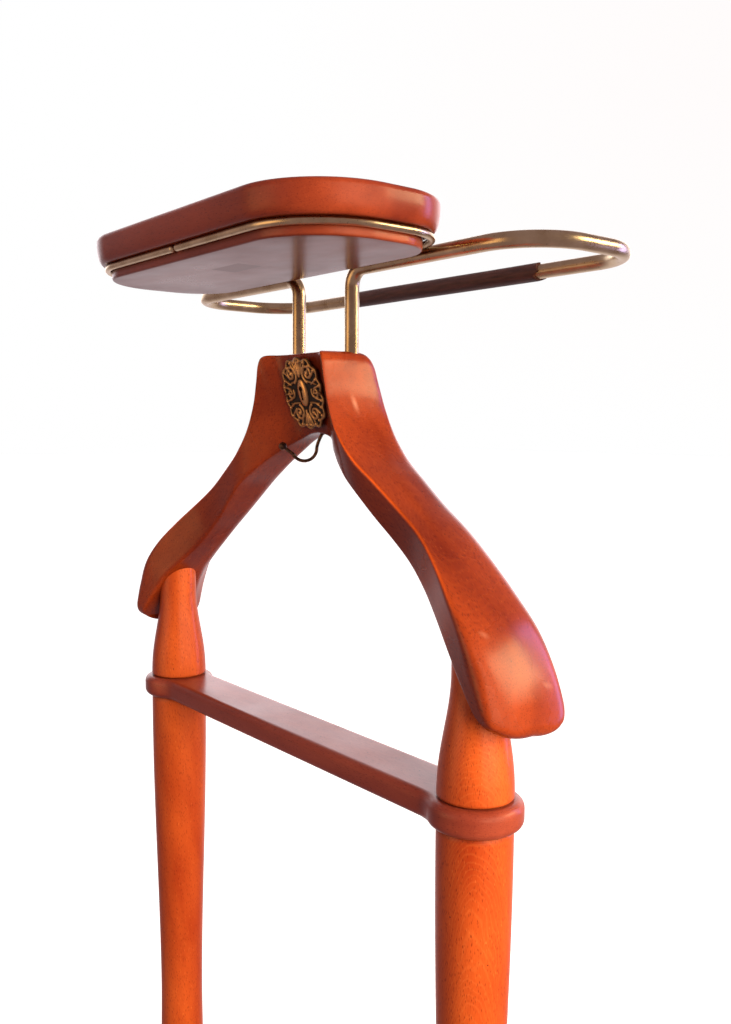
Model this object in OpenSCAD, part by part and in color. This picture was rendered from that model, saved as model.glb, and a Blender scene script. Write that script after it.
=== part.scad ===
// Valet stand: a hanger on two turned posts, a trouser bar behind it and a lift-off tray on top.
// Millimetres. X runs along the hanger, -Y is the front, +Z is up.
// The origin is on the floor, midway between the posts.

/* [Posts] */
// Distance between the two post axes
post_gap = 360; // [340:2:380]
// Largest diameter of the turned posts
post_d = 45.5; // [42:0.5:48]
// Diameter at the waist of the lower posts
waist_d = 35.6; // [32:0.2:38]
// Height of the waist above the floor
waist_z = 458; // [430:2:480]
// Diameter of the straight top of the upper spindles
spindle_top_d = 30; // [28:0.5:32]

/* [Cross shelf] */
// Height of the underside of the shelf
shelf_z = 723.5; // [700:0.5:740]
// Thickness of the shelf board
shelf_t = 16.5; // [14:0.5:20]
// Width of the board between the posts
shelf_w = 43; // [38:0.5:46]
// Diameter of the round ends under the spindles
shelf_end_d = 57; // [54:0.5:60]

/* [Hanger] */
// Height of the flat top of the neck
neck_top_z = 1003.5; // [1000:0.5:1008]
// Depth that each trouser bar upright sits in the neck
bar_socket = 42; // [35:1:46]
// Top of the round sockets that take the spindles
arm_socket_z = 834; // [830:1:838]

/* [Trouser bar] */
// Outer diameter of the bent tube
tube_d = 10; // [9:0.5:10.5]
// Wall thickness of the tube
tube_wall = 1; // [0.8:0.1:1.5]
// Half the distance between the two uprights
upright_x = 31.6; // [30:0.1:33]
// Distance of the uprights and the front leg behind the posts
bar_front_y = 22.5; // [21.5:0.5:23.5]
// Distance of the back leg behind the posts
bar_back_y = 126; // [115:1:132]
// Half the length of the bar, to the middle of its tube
bar_half = 198; // [185:1:205]
// Height of the middle of the tube
bar_z = 1060; // [1059.5:0.1:1060.5]
// Bend radius at the top of each upright
upright_bend = 12; // [11:0.5:14]
// Bend radius at the corners of the loop
loop_bend = 40; // [30:1:45]
// Outer diameter of the soft sleeve
sleeve_d = 13; // [12:0.5:15]
// Length of the soft sleeve
sleeve_len = 215; // [180:5:230]
// How far the sleeve sits to the right of the middle
sleeve_shift = 5; // [-10:1:10]

/* [Tray] */
// Half the length of the lower tray board
tray_half = 138.5; // [130:0.5:145]
// Front edge of the lower tray board
tray_front_y = -92.5; // [-96:0.5:-88]
// Back edge of the lower tray board
tray_back_y = 11; // [10:0.5:12]
// Underside of the lower tray board
tray_z = 1057; // [1056:0.5:1058.5]
// Radius of the front corners of the lower tray board
tray_front_corner = 49; // [40:1:52]
// Radius of the back corners of the lower tray board
tray_back_corner = 36; // [28:1:44]
// How far the tray slab overhangs its lower board
slab_over = 10.5; // [8:0.5:11]
// Height of the tray slab
slab_h = 19.5; // [18:0.5:24]
// Depth of the dish in the top of the slab
dish_depth = 8; // [5:0.5:10]
// Width of the rim around the dish
rim_w = 9; // [8:0.5:14]
// Diameter of the wire ring that holds the tray
ring_d = 4.7; // [4:0.1:5]
// Height of the middle of the wire ring
ring_z = 1064.5; // [1064:0.1:1065]
// Gap between the two ends of the ring, in the middle of its front
ring_gap = 3; // [2:0.5:5]

/* [Base] */
// Length of each foot, front to back
foot_len = 380; // [360:5:420]
// Width of each foot
foot_w = 48; // [46:1:52]
// Height of the feet under the posts
foot_top_z = 62; // [56:1:68]
// Height of the glides under the feet
glide_h = 5; // [3:0.5:8]
// Width of the low stretcher
stretcher_w = 74; // [60:1:90]
// Thickness of the low stretcher
stretcher_t = 18; // [16:1:20]

/* [Hidden] */

wood_red = [0.55, 0.2, 0.09];
wood_dark = [0.42, 0.14, 0.07];
wood_pale = [0.8, 0.62, 0.4];
metal_gold = [0.72, 0.6, 0.38];
metal_dark = [0.35, 0.26, 0.15];
sleeve_brown = [0.2, 0.11, 0.1];
steel = [0.6, 0.6, 0.62];
glide_black = [0.12, 0.1, 0.1];

post_x = post_gap / 2;
fine = 96;
tenon_d = 22;
tenon_len = 24;
dowel_d = 12;
dowel_deep = 28;
small_dowel_d = 8;
screw_d = 6;
screw_head_d = 13;
screw_tip_z = 104;
pin_d = 1.6;
hook_wire_d = 2.4;
hook_x = -3.5;
hook_y = 18.5;
hook_turn = 30;
tray_gap = 0.3;
slab_z = ring_z + ring_d / 2 + tray_gap;

// ---------- helpers ----------

// Catmull-Rom value between p1 and p2
function blend4(p0, p1, p2, p3, t) =
    0.5 * (2 * p1 + (p2 - p0) * t + (2 * p0 - 5 * p1 + 4 * p2 - p3) * t * t
    + (3 * p1 - p0 - 3 * p2 + p3) * t * t * t);

// Smooth value at position u (0 to len - 1) through the rows of a list
function through(rows, u) =
    let (last = len(rows) - 1, i = min(floor(u), last - 1))
    blend4(rows[max(i - 1, 0)], rows[i], rows[i + 1], rows[min(i + 2, last)], u - i);

// Quarter of a rounded corner: a parabola from a to b with its corner at c
function corner_arc(a, c, b, steps) =
    [for (k = [0:steps]) let (t = k / steps) (1 - t) * (1 - t) * a + 2 * t * (1 - t) * c + t * t * b];

// Point at distance d from p towards q
function toward(p, q, d) = p + (q - p) * min(0.46, d / max(norm(q - p), 0.01));

// Faces that skin equal rings of points, with a fan at each end
function skin_faces(rings, m) = concat(
    [for (i = [0:rings - 2], j = [0:m - 1]) let (k = (j + 1) % m) [i * m + j, i * m + k, (i + 1) * m + k]],
    [for (i = [0:rings - 2], j = [0:m - 1]) let (k = (j + 1) % m)
        [i * m + j, (i + 1) * m + k, (i + 1) * m + j]],
    [[for (j = [m - 1:-1:0]) j]],
    [[for (j = [0:m - 1]) (rings - 1) * m + j]]
);

module at_posts() {
    for (side = [-1, 1]) translate([side * post_x, 0, 0]) children();
}

// ---------- base ----------

foot_end_h = 27;
foot_arch_h = 13;
foot_arch_half = 122;
glide_y = foot_len / 2 - 26;

foot_seat = 26;

// Height of the top of a foot: a flat seat for the post, then a long slope to each end
function foot_top(y) =
    let (t = max(0, abs(y) - foot_seat) / (foot_len / 2 - 18 - foot_seat))
    foot_end_h + (foot_top_z - foot_end_h) * pow(0.5 + 0.5 * cos(180 * min(1, t)), 1.3);
function foot_bottom(y) = glide_h
    + foot_arch_h * (abs(y) < foot_arch_half ? 0.5 + 0.5 * cos(180 * y / foot_arch_half) : 0);

module foot_outline() {
    nose = (foot_end_h - glide_h) / 2;
    end_y = foot_len / 2 - nose;
    ys = [for (k = [0:32]) -end_y + 2 * end_y * k / 32];
    turn = [for (k = [1:7]) 180 * k / 8];
    polygon(concat(
        [for (y = ys) [y, foot_top(y)]],
        [for (a = turn) [end_y + nose * sin(a), glide_h + nose + nose * cos(a)]],
        [for (k = [32:-1:0]) [ys[k], foot_bottom(ys[k])]],
        [for (a = turn) [-end_y - nose * sin(a), glide_h + nose - nose * cos(a)]]
    ));
}

module foot() {
    difference() {
        rotate([90, 0, 90]) translate([0, 0, -foot_w / 2]) linear_extrude(foot_w) foot_outline();
        translate([0, 0, foot_top_z - tenon_len]) cylinder(d = tenon_d, h = tenon_len + 1, $fn = fine);
        translate([0, 0, -1]) cylinder(d = screw_d, h = foot_top_z, $fn = 48);
        translate([0, 0, -1]) cylinder(d = screw_head_d + 1, h = glide_h + foot_arch_h + 7, $fn = 48);
    }
}

module stretcher_dowel_holes(side) {
    for (y = [-1, 1]) translate([side * (post_x - foot_w / 2), y * stretcher_w / 4, stretcher_mid_z])
        rotate([0, 90, 0]) cylinder(d = small_dowel_d, h = 36, center = true, $fn = 48);
}

stretcher_mid_z = 38;
stretcher_half = post_x - foot_w / 2;

module foot_left() {
    color(wood_red) difference() {
        translate([-post_x, 0, 0]) foot();
        stretcher_dowel_holes(-1);
    }
}

module foot_right() {
    color(wood_red) difference() {
        translate([post_x, 0, 0]) foot();
        stretcher_dowel_holes(1);
    }
}

module foot_glides() {
    color(glide_black) at_posts() for (side = [-1, 1]) translate([0, side * glide_y, 0]) {
        cylinder(d1 = 22, d2 = 26, h = 1.5, $fn = 64);
        translate([0, 0, 1.5]) cylinder(d = 26, h = glide_h - 1.5, $fn = 64);
    }
}

module low_stretcher() {
    edge_r = 5;
    color(wood_red) difference() {
        translate([-stretcher_half, 0, stretcher_mid_z]) rotate([90, 0, 90])
            linear_extrude(2 * stretcher_half) union() {
                square([stretcher_w - 2 * edge_r, stretcher_t], center = true);
                square([stretcher_w, stretcher_t - 2 * edge_r], center = true);
                for (y = [-1, 1], z = [-1, 1])
                    translate([y * (stretcher_w / 2 - edge_r), z * (stretcher_t / 2 - edge_r)])
                        circle(r = edge_r, $fn = 48);
            }
        for (side = [-1, 1]) stretcher_dowel_holes(side);
    }
}

module stretcher_dowels() {
    color(wood_pale) for (side = [-1, 1], y = [-1, 1])
        translate([side * stretcher_half, y * stretcher_w / 4, stretcher_mid_z])
            rotate([0, 90, 0]) cylinder(d = small_dowel_d, h = 34, center = true, $fn = 48);
}

module post_screws() {
    head_z = glide_h + foot_arch_h + 6;
    color(steel) at_posts() {
        translate([0, 0, head_z]) cylinder(d = screw_d, h = screw_tip_z - head_z, $fn = 48);
        difference() {
            translate([0, 0, head_z - 4]) cylinder(d = screw_head_d, h = 4, $fn = 48);
            translate([0, 0, head_z - 5]) cylinder(d = 5, h = 3, $fn = 6);
        }
    }
}

// ---------- posts ----------

lower_top_z = shelf_z;
// Radius of the lower post at height z: two long swells with a waist between them
function lower_post_r(z) =
    let (swell = (lower_top_z - waist_z),
         t = (z - waist_z) / swell,
         up = 0.5 - 0.5 * cos(180 * min(1, abs(t) * 1.04)),
         foot_taper = z < 190 ? (190 - z) * (190 - z) * 0.00026 : 0)
    waist_d / 2 + (post_d - waist_d) / 2 * pow(up, 0.86) - foot_taper;

module lower_post() {
    steps = 34;
    difference() {
        union() {
            rotate_extrude($fn = fine) polygon(concat(
                [[0, foot_top_z]],
                [for (k = [0:steps]) let (z = foot_top_z + (lower_top_z - foot_top_z) * k / steps)
                    [lower_post_r(z), z]],
                [[0, lower_top_z]]
            ));
            translate([0, 0, foot_top_z - tenon_len]) cylinder(d = tenon_d, h = tenon_len + 2, $fn = fine);
        }
        translate([0, 0, lower_top_z - dowel_deep]) cylinder(d = dowel_d, h = dowel_deep + 1, $fn = 48);
        translate([0, 0, foot_top_z - tenon_len - 1])
            cylinder(d = screw_d, h = screw_tip_z - foot_top_z + tenon_len + 1, $fn = 48);
    }
}

module lower_post_left() {
    color(wood_red) translate([-post_x, 0, 0]) lower_post();
}

module lower_post_right() {
    color(wood_red) translate([post_x, 0, 0]) lower_post();
}

spindle_z = shelf_z + shelf_t;
spindle_neck_z = 812;
// Radius of the upper spindle at height z: a shoulder curve from the shelf to the straight top
function spindle_r(z) =
    let (t = min(1, (z - spindle_z) / (spindle_neck_z - spindle_z)))
    spindle_top_d / 2 + (post_d - spindle_top_d) / 2 * (0.5 + 0.5 * cos(180 * pow(t, 1.12)));

// Turned shoulder of a spindle, wider all round by gap
module spindle_shoulder(gap = 0) {
    steps = 16;
    rotate_extrude($fn = fine) polygon(concat(
        [[0, spindle_z]],
        [for (k = [0:steps]) let (z = spindle_z + (spindle_neck_z - spindle_z) * k / steps)
            [spindle_r(z) + gap, z]],
        [[0, spindle_neck_z]]
    ));
}

module spindle() {
    difference() {
        union() {
            spindle_shoulder();
            translate([0, 0, spindle_neck_z - 1])
                cylinder(d = spindle_top_d, h = arm_socket_z - spindle_neck_z + 1, $fn = fine);
        }
        translate([0, 0, spindle_z - 1]) cylinder(d = dowel_d, h = dowel_deep + 1, $fn = 48);
    }
}

module spindle_left() {
    color(wood_red) translate([-post_x, 0, 0]) spindle();
}

module spindle_right() {
    color(wood_red) translate([post_x, 0, 0]) spindle();
}

module post_dowels() {
    slack = 1;
    color(wood_pale) at_posts() translate([0, 0, lower_top_z - dowel_deep + slack])
        cylinder(d = dowel_d, h = shelf_t + 2 * (dowel_deep - slack), $fn = 48);
}

// ---------- cross shelf ----------

module shelf_disc() {
    edge_r = 5;
    rotate_extrude($fn = fine) {
        square([shelf_end_d / 2 - edge_r, shelf_t]);
        translate([0, edge_r]) square([shelf_end_d / 2, shelf_t - 2 * edge_r]);
        for (z = [edge_r, shelf_t - edge_r]) translate([shelf_end_d / 2 - edge_r, z]) intersection() {
            circle(r = edge_r, $fn = 48);
            translate([-edge_r, -edge_r]) square([2 * edge_r, 2 * edge_r]);
        }
    }
}

module cross_shelf() {
    edge_r = 4;
    color(wood_dark) difference() {
        union() {
            translate([-post_x, 0, shelf_z + shelf_t / 2]) rotate([90, 0, 90])
                linear_extrude(post_gap) union() {
                    square([shelf_w - 2 * edge_r, shelf_t], center = true);
                    square([shelf_w, shelf_t - 2 * edge_r], center = true);
                    for (y = [-1, 1], z = [-1, 1])
                        translate([y * (shelf_w / 2 - edge_r), z * (shelf_t / 2 - edge_r)])
                            circle(r = edge_r, $fn = 48);
                }
            at_posts() translate([0, 0, shelf_z]) shelf_disc();
        }
        at_posts() translate([0, 0, shelf_z - 1]) cylinder(d = dowel_d, h = shelf_t + 2, $fn = 48);
    }
}

// ---------- hanger ----------

// Sections of one half of the hanger, from the middle of the neck to the tip of the arm: [upper x,
// upper z, lower x, lower z, front y above, back y above, front y below, back y below, drop at the back]
arm_sections = [
    [0, 1003.5, 0, 948, 0.5, 40, 15.8, 34, 0],
    [14, 1003.5, 9, 947, 0.3, 40, 15.7, 34, 0],
    [26, 1003.5, 17, 944.5, -1.2, 40, 15.2, 33.5, 0],
    [35, 1003, 25, 940.5, -8, 40, 11.6, 32.5, 0],
    [39.3, 998, 32, 936, -9.2, 40.5, 7, 31.5, 0],
    [41.8, 986, 40, 930.5, -9, 42.5, 3, 30, 0],
    [46, 969, 49, 924.5, -8.8, 45.5, -0.5, 28.5, 0],
    [55, 950, 60, 917, -9, 47.5, -3.5, 27, 0],
    [71, 932.5, 74, 907.5, -8.5, 47, -5, 26, 0],
    [91, 918.5, 90, 894.5, -6.8, 45, -4, 25, 0],
    [113, 903.5, 106, 881.5, -6, 43, -2, 24, 0],
    [136, 889, 122, 869, -8, 42, -2, 23, 0],
    [158, 872.5, 138, 855, -14.5, 41, -4.5, 21, 0],
    [178, 855, 155, 841, -22, 41.5, -10.5, 19.5, 1],
    [194, 838, 171, 827.5, -26, 43, -17, 19, 2],
    [205.5, 819.5, 185, 812, -26.7, 44, -20.5, 20, 3.5],
    [212.5, 802.5, 197, 798.5, -26, 44, -22.5, 23, 5],
    [216, 789.5, 207, 787.5, -24.5, 43, -22.5, 27, 6.5]
];
arm_crown = 2.6;
arm_round_front = 4;
arm_round_back = 15;
arm_round_under = 5;
tip_reach = 7;
tip_steps = 5;

// One closed section, as points [y, share of the height], with rounded corners and a crowned top
function section_loop(s, h, size) =
    let (mid = [(s[4] + s[5] + s[6] + s[7]) / 4, h / 2],
         fu = [s[4], h], bu = [s[5], h], bl = [s[7], 0], fl = [s[6], 0],
         a = toward(fu, fl, arm_round_front), b = toward(fu, bu, arm_round_front),
         c = toward(bu, fu, arm_round_back), d = toward(bu, bl, arm_round_back),
         e = toward(bl, bu, arm_round_under), f = toward(bl, fl, arm_round_under),
         g = toward(fl, bl, arm_round_front), i = toward(fl, fu, arm_round_front),
         top = [for (t = [0.2, 0.4, 0.6, 0.8]) b + (c - b) * t + [0, arm_crown * 4 * t * (1 - t)]],
         loop = concat(corner_arc(a, fu, b, 4), top, corner_arc(c, bu, d, 5),
             corner_arc(e, bl, f, 3), corner_arc(g, fl, i, 3)))
    [for (p = loop) mid + (p - mid) * size];

// Ring of points in space for position u along the sections, drawn in by size and pushed out by reach
function arm_ring(u, size, reach) =
    let (s = through(arm_sections, u),
         low = [s[2], s[3]], up = [s[0], s[1]], h = norm(up - low), middle = (s[4] + s[5]) / 2,
         out = [(up - low)[1], -(up - low)[0]] / h)
    [for (p = section_loop(s, h, size))
        let (q = low + (up - low) * p[1] / h + out * reach,
             drop = s[8] * max(0, p[0] - middle) / (s[5] - middle))
        [q[0], p[0], q[1] - drop]];

module arm_body() {
    last = len(arm_sections) - 1;
    along = [for (u = [0:0.5:last]) u];
    rings = concat(
        [for (u = along) arm_ring(u, 1, 0)],
        [for (k = [1:tip_steps]) let (t = 90 * k / (tip_steps + 0.4))
            arm_ring(last, cos(t), tip_reach * sin(t))]
    );
    m = len(rings[0]);
    polyhedron(points = [for (r = rings, p = r) p], faces = skin_faces(len(rings), m), convexity = 6);
}

plate_tilt = 15.5;
plate_mid = [0, 5.3, 976];
pin_x = 19.6;
// Gap between a spindle's shoulder and the mouth of its socket
seat_gap = 0.3;

module on_plate() {
    translate(plate_mid) rotate([90 + plate_tilt, 0, 0]) children();
}

module neck_dowel_holes() {
    for (p = [[20, 992], [24, 962]]) translate([0, p[0], p[1]]) rotate([0, 90, 0])
        cylinder(d = small_dowel_d, h = 42, center = true, $fn = 48);
}

module arm_holes() {
    translate([upright_x, bar_front_y, neck_top_z - bar_socket])
        cylinder(d = tube_d / cos(180 / 64), h = bar_socket + 10, $fn = 64);
    translate([post_x, 0, 700])
        cylinder(d = spindle_top_d / cos(180 / fine), h = arm_socket_z - 700, $fn = fine);
    translate([post_x, 0, 0]) spindle_shoulder(seat_gap);
    neck_dowel_holes();
    on_plate() translate([pin_x, 0, -12]) cylinder(d = pin_d, h = 14, $fn = 32);
}

module hanger_right() {
    color(wood_red) difference() {
        arm_body();
        arm_holes();
    }
}

module hanger_left() {
    color(wood_red) difference() {
        mirror([1, 0, 0]) difference() {
            arm_body();
            arm_holes();
        }
        translate([hook_x, hook_y, 0]) cylinder(d = hook_wire_d, h = 962, $fn = 32);
    }
}

module hanger_dowels() {
    color(wood_pale) for (p = [[20, 992], [24, 962]]) translate([0, p[0], p[1]]) rotate([0, 90, 0])
        cylinder(d = small_dowel_d, h = 40, center = true, $fn = 48);
}

// ---------- escutcheon ----------

plate_t = 1.6;

// Shaped outline of the cast plate: a rounded shield with scalloped edges
function plate_r(a) = let (side = 22.6, tall = 25.6)
    (1 / sqrt(pow(cos(a) / side, 2) + pow(sin(a) / tall, 2))) * (1 + 0.045 * cos(10 * a - 180));

module plate_scroll(x, y, r) {
    translate([x, y, plate_t - 0.2]) rotate_extrude($fn = 40) translate([r, 0]) circle(r = 1.1, $fn = 16);
}

module escutcheon_plate() {
    color(metal_dark) on_plate() difference() {
        union() {
            linear_extrude(plate_t) polygon([for (a = [0:5:355]) plate_r(a) * [cos(a), sin(a)]]);
            for (side = [-1, 1]) {
                for (p = [[11, 13, 4.6], [12.5, 1, 4], [10.5, -12, 4.4]])
                    plate_scroll(side * p[0], p[1], p[2]);
                for (y = [-18, -7, 7, 19]) translate([side * (16 - abs(y) * 0.2), y, plate_t])
                    sphere(r = 1.6, $fn = 24);
            }
            translate([0, 4, plate_t - 0.2]) cylinder(r1 = 7, r2 = 5.4, h = 1.8, $fn = 48);
            translate([0, -14, plate_t - 0.2]) cylinder(r1 = 4.4, r2 = 3.2, h = 1.8, $fn = 48);
            translate([0, 18, plate_t]) sphere(r = 3.4, $fn = 32);
        }
        for (side = [-1, 1]) translate([side * pin_x, 0, -1]) cylinder(d = pin_d, h = 6, $fn = 32);
        for (side = [-1, 1], p = [[11, 13, 2], [12.5, 1, 1.8], [10.5, -12, 2], [5.5, -20, 1.5]])
            translate([side * p[0], p[1], -1]) cylinder(r = p[2], h = 6, $fn = 32);
    }
}

module escutcheon_pins() {
    color(metal_gold) on_plate() for (side = [-1, 1]) translate([side * pin_x, 0, 0]) {
        translate([0, 0, -11]) cylinder(d = pin_d, h = 11 + plate_t, $fn = 32);
        translate([0, 0, plate_t]) intersection() {
            translate([0, 0, -0.6]) sphere(r = 1.9, $fn = 32);
            cylinder(r = 2, h = 2, $fn = 32);
        }
    }
}

// ---------- cup hook ----------

// Wire arc in the hook's own plane, along its own x, starting at angle a0 and turning by sweep
module wire_arc(x, z, r, a0, sweep) {
    translate([x, 0, z]) rotate([90, 0, 0]) rotate([0, 0, a0])
        rotate_extrude(angle = sweep, $fn = fine) translate([r, 0]) circle(d = hook_wire_d, $fn = 24);
}

hook_cup_r = 9;
hook_cup_z = 937;
hook_tip = [24.4, 938.5];

module cup_hook() {
    ball_r = 2.9;
    shank_top_z = 960;
    rise = 62;
    lip = [hook_cup_r + hook_cup_r * cos(-90 + rise), hook_cup_z + hook_cup_r * sin(-90 + rise)];
    color(metal_dark) translate([hook_x, hook_y, 0]) rotate([0, 0, -90 - hook_turn]) {
        translate([0, 0, hook_cup_z]) cylinder(d = hook_wire_d, h = shank_top_z - hook_cup_z, $fn = 24);
        translate([0, 0, 941.5]) cylinder(d = 5, h = 1.4, $fn = 32);
        wire_arc(hook_cup_r, hook_cup_z, hook_cup_r, 180, 90 + rise);
        translate([lip[0], 0, lip[1]]) rotate([0, 90 - atan2(hook_tip[1] - lip[1], hook_tip[0] - lip[0]), 0])
            cylinder(d = hook_wire_d, h = norm(hook_tip - lip), $fn = 24);
        translate([hook_tip[0], 0, hook_tip[1]]) sphere(r = ball_r, $fn = 32);
    }
}

// ---------- trouser bar ----------

module bar_bend(x, y, r) {
    translate([x, y, bar_z]) rotate_extrude(angle = 90, $fn = fine) translate([r, 0]) children();
}

// Right half of the loop with the given cross-section, from the neck to the middle of the back leg
module bar_half_loop(r) {
    corner_x = bar_half - loop_bend;
    bend_x = upright_x + upright_bend;
    foot_z = neck_top_z - bar_socket;
    translate([upright_x, bar_front_y, foot_z])
        cylinder(r = r, h = bar_z - upright_bend - foot_z, $fn = 64);
    translate([bend_x, bar_front_y, bar_z - upright_bend]) rotate([90, 0, 0]) rotate([0, 0, 90])
        rotate_extrude(angle = 90, $fn = fine) translate([upright_bend, 0]) circle(r = r, $fn = 64);
    translate([bend_x, bar_front_y, bar_z]) rotate([0, 90, 0]) cylinder(r = r, h = corner_x - bend_x, $fn = 64);
    translate([corner_x, bar_front_y + loop_bend, bar_z]) rotate([0, 0, -90])
        rotate_extrude(angle = 90, $fn = fine) translate([loop_bend, 0]) circle(r = r, $fn = 64);
    translate([bar_half, bar_front_y + loop_bend, bar_z]) rotate([-90, 0, 0])
        cylinder(r = r, h = bar_back_y - bar_front_y - 2 * loop_bend, $fn = 64);
    translate([corner_x, bar_back_y - loop_bend, bar_z])
        rotate_extrude(angle = 90, $fn = fine) translate([loop_bend, 0]) circle(r = r, $fn = 64);
    translate([-1, bar_back_y, bar_z]) rotate([0, 90, 0]) cylinder(r = r, h = corner_x + 1, $fn = 64);
}

module bar_loop(r) {
    bar_half_loop(r);
    mirror([1, 0, 0]) bar_half_loop(r);
}

module trouser_bar() {
    color(metal_gold) difference() {
        bar_loop(tube_d / 2);
        bar_loop(tube_d / 2 - tube_wall);
    }
}

module bar_sleeve() {
    color(sleeve_brown) translate([sleeve_shift, bar_back_y, bar_z]) rotate([0, 90, 0]) difference() {
        cylinder(d = sleeve_d, h = sleeve_len, center = true, $fn = 64);
        cylinder(d = tube_d, h = sleeve_len + 2, center = true, $fn = 64);
    }
}

// ---------- tray ----------

ring_clear = 0.35;
ring_off = ring_clear + ring_d / 2;
ring_half = tray_half + ring_off;
ring_front_y = tray_front_y - ring_off;
ring_back_y = bar_front_y - 5.2;
ring_front_corner = tray_front_corner + ring_off;
ring_back_corner = tray_back_corner + ring_off;

module ring_rod(from, to) {
    span = to - from;
    translate([from[0], from[1], ring_z]) rotate([0, 90, atan2(span[1], span[0])])
        cylinder(d = ring_d, h = norm(span), $fn = 48);
}

module ring_corner_arc(x, y, r, a0) {
    translate([x, y, ring_z]) rotate([0, 0, a0]) rotate_extrude(angle = 90, $fn = fine)
        translate([r, 0]) circle(d = ring_d, $fn = 48);
}

module ring_half_loop() {
    front_x = ring_half - ring_front_corner;
    front_y = ring_front_y + ring_front_corner;
    back_x = ring_half - ring_back_corner;
    back_y = ring_back_y - ring_back_corner;
    ring_rod([ring_gap / 2, ring_front_y], [front_x, ring_front_y]);
    ring_corner_arc(front_x, front_y, ring_front_corner, 270);
    ring_rod([ring_half, front_y], [ring_half, back_y]);
    ring_corner_arc(back_x, back_y, ring_back_corner, 0);
    ring_rod([-0.5, ring_back_y], [back_x, ring_back_y]);
}

module tray_ring() {
    color(metal_gold) {
        ring_half_loop();
        mirror([1, 0, 0]) ring_half_loop();
    }
}

front_corner_at = [tray_half - tray_front_corner, tray_front_y + tray_front_corner];
back_corner_at = [tray_half - tray_back_corner, tray_back_y - tray_back_corner];
side_run = back_corner_at[1] - front_corner_at[1];

// Flat outline of the tray, grown by over on every side
module tray_outline(over) {
    for (side = [-1, 1]) {
        translate([side * front_corner_at[0], front_corner_at[1]])
            circle(r = tray_front_corner + over, $fn = fine);
        translate([side * back_corner_at[0], back_corner_at[1]])
            circle(r = tray_back_corner + over, $fn = fine);
    }
    translate([-front_corner_at[0], tray_front_y - over])
        square([2 * front_corner_at[0], tray_front_corner + over]);
    translate([-back_corner_at[0], back_corner_at[1]])
        square([2 * back_corner_at[0], tray_back_corner + over]);
    translate([-tray_half - over, front_corner_at[1]]) square([2 * (tray_half + over), side_run]);
}

module moulded_corner(at, r, profile, a0) {
    inner = [[0, profile[0][1]]];
    outer = [for (p = profile) [r + p[0], p[1]]];
    translate([at[0], at[1], 0]) rotate([0, 0, a0]) rotate_extrude(angle = 90, $fn = fine)
        polygon(concat(inner, outer, [[0, profile[len(profile) - 1][1]]]));
}

module moulded_run(length, profile) {
    top = profile[len(profile) - 1][1];
    rotate([90, 0, 0]) linear_extrude(length)
        polygon(concat([[-20, profile[0][1]]], profile, [[-20, top]]));
}

// Solid with the tray's outline whose edge follows a profile of [distance out, height] points
module tray_moulded(profile) {
    bottom = profile[0][1];
    for (side = [0, 1]) mirror([side, 0, 0]) {
        moulded_corner(back_corner_at, tray_back_corner, profile, 0);
        moulded_corner(front_corner_at, tray_front_corner, profile, 270);
        translate([tray_half, back_corner_at[1], 0]) moulded_run(side_run, profile);
    }
    translate([-back_corner_at[0], tray_back_y, 0]) rotate([0, 0, 90])
        moulded_run(2 * back_corner_at[0], profile);
    translate([front_corner_at[0], tray_front_y, 0]) rotate([0, 0, 270])
        moulded_run(2 * front_corner_at[0], profile);
    translate([0, 0, bottom]) linear_extrude(profile[len(profile) - 1][1] - bottom) tray_outline(-10);
}

// Side of the slab: tucked in below, widest near the top, with a rounded upper edge
slab_tuck = 5.2;
slab_round = 4.2;
slab_wide_z = slab_h - 6;
slab_profile = concat(
    [for (t = [0:15:75]) [slab_over - slab_tuck * (1 - sin(t)), slab_z + slab_wide_z * (1 - cos(t))]],
    [for (t = [0:18:90]) [slab_over - slab_round * (1 - cos(t)), slab_z + slab_wide_z + 1.8 + slab_round * sin(t)]]
);
dish_top = slab_z + slab_h;
dish_profile = concat(
    [for (t = [0:22.5:90]) [slab_over - rim_w - 6 * (1 - sin(t)), dish_top - dish_depth + 6 * (1 - cos(t))]],
    [[slab_over - rim_w + 1.2, dish_top + 1]]
);

module tray_slab() {
    color(wood_dark) difference() {
        tray_moulded(slab_profile);
        tray_moulded(dish_profile);
    }
}

module tray_base_board() {
    color(wood_dark) translate([0, 0, tray_z]) linear_extrude(slab_z - tray_z) tray_outline(0);
}

foot_left();
foot_right();
foot_glides();
low_stretcher();
stretcher_dowels();
post_screws();
lower_post_left();
lower_post_right();
cross_shelf();
post_dowels();
spindle_left();
spindle_right();
hanger_left();
hanger_right();
hanger_dowels();
escutcheon_plate();
escutcheon_pins();
cup_hook();
trouser_bar();
bar_sleeve();
tray_ring();
tray_slab();
tray_base_board();
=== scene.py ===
"""Valet stand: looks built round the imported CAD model. Metres, X along the hanger, -Y the front."""

import math
import random

import bmesh
import bpy
import numpy as np
from mathutils import Matrix, Vector


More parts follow.
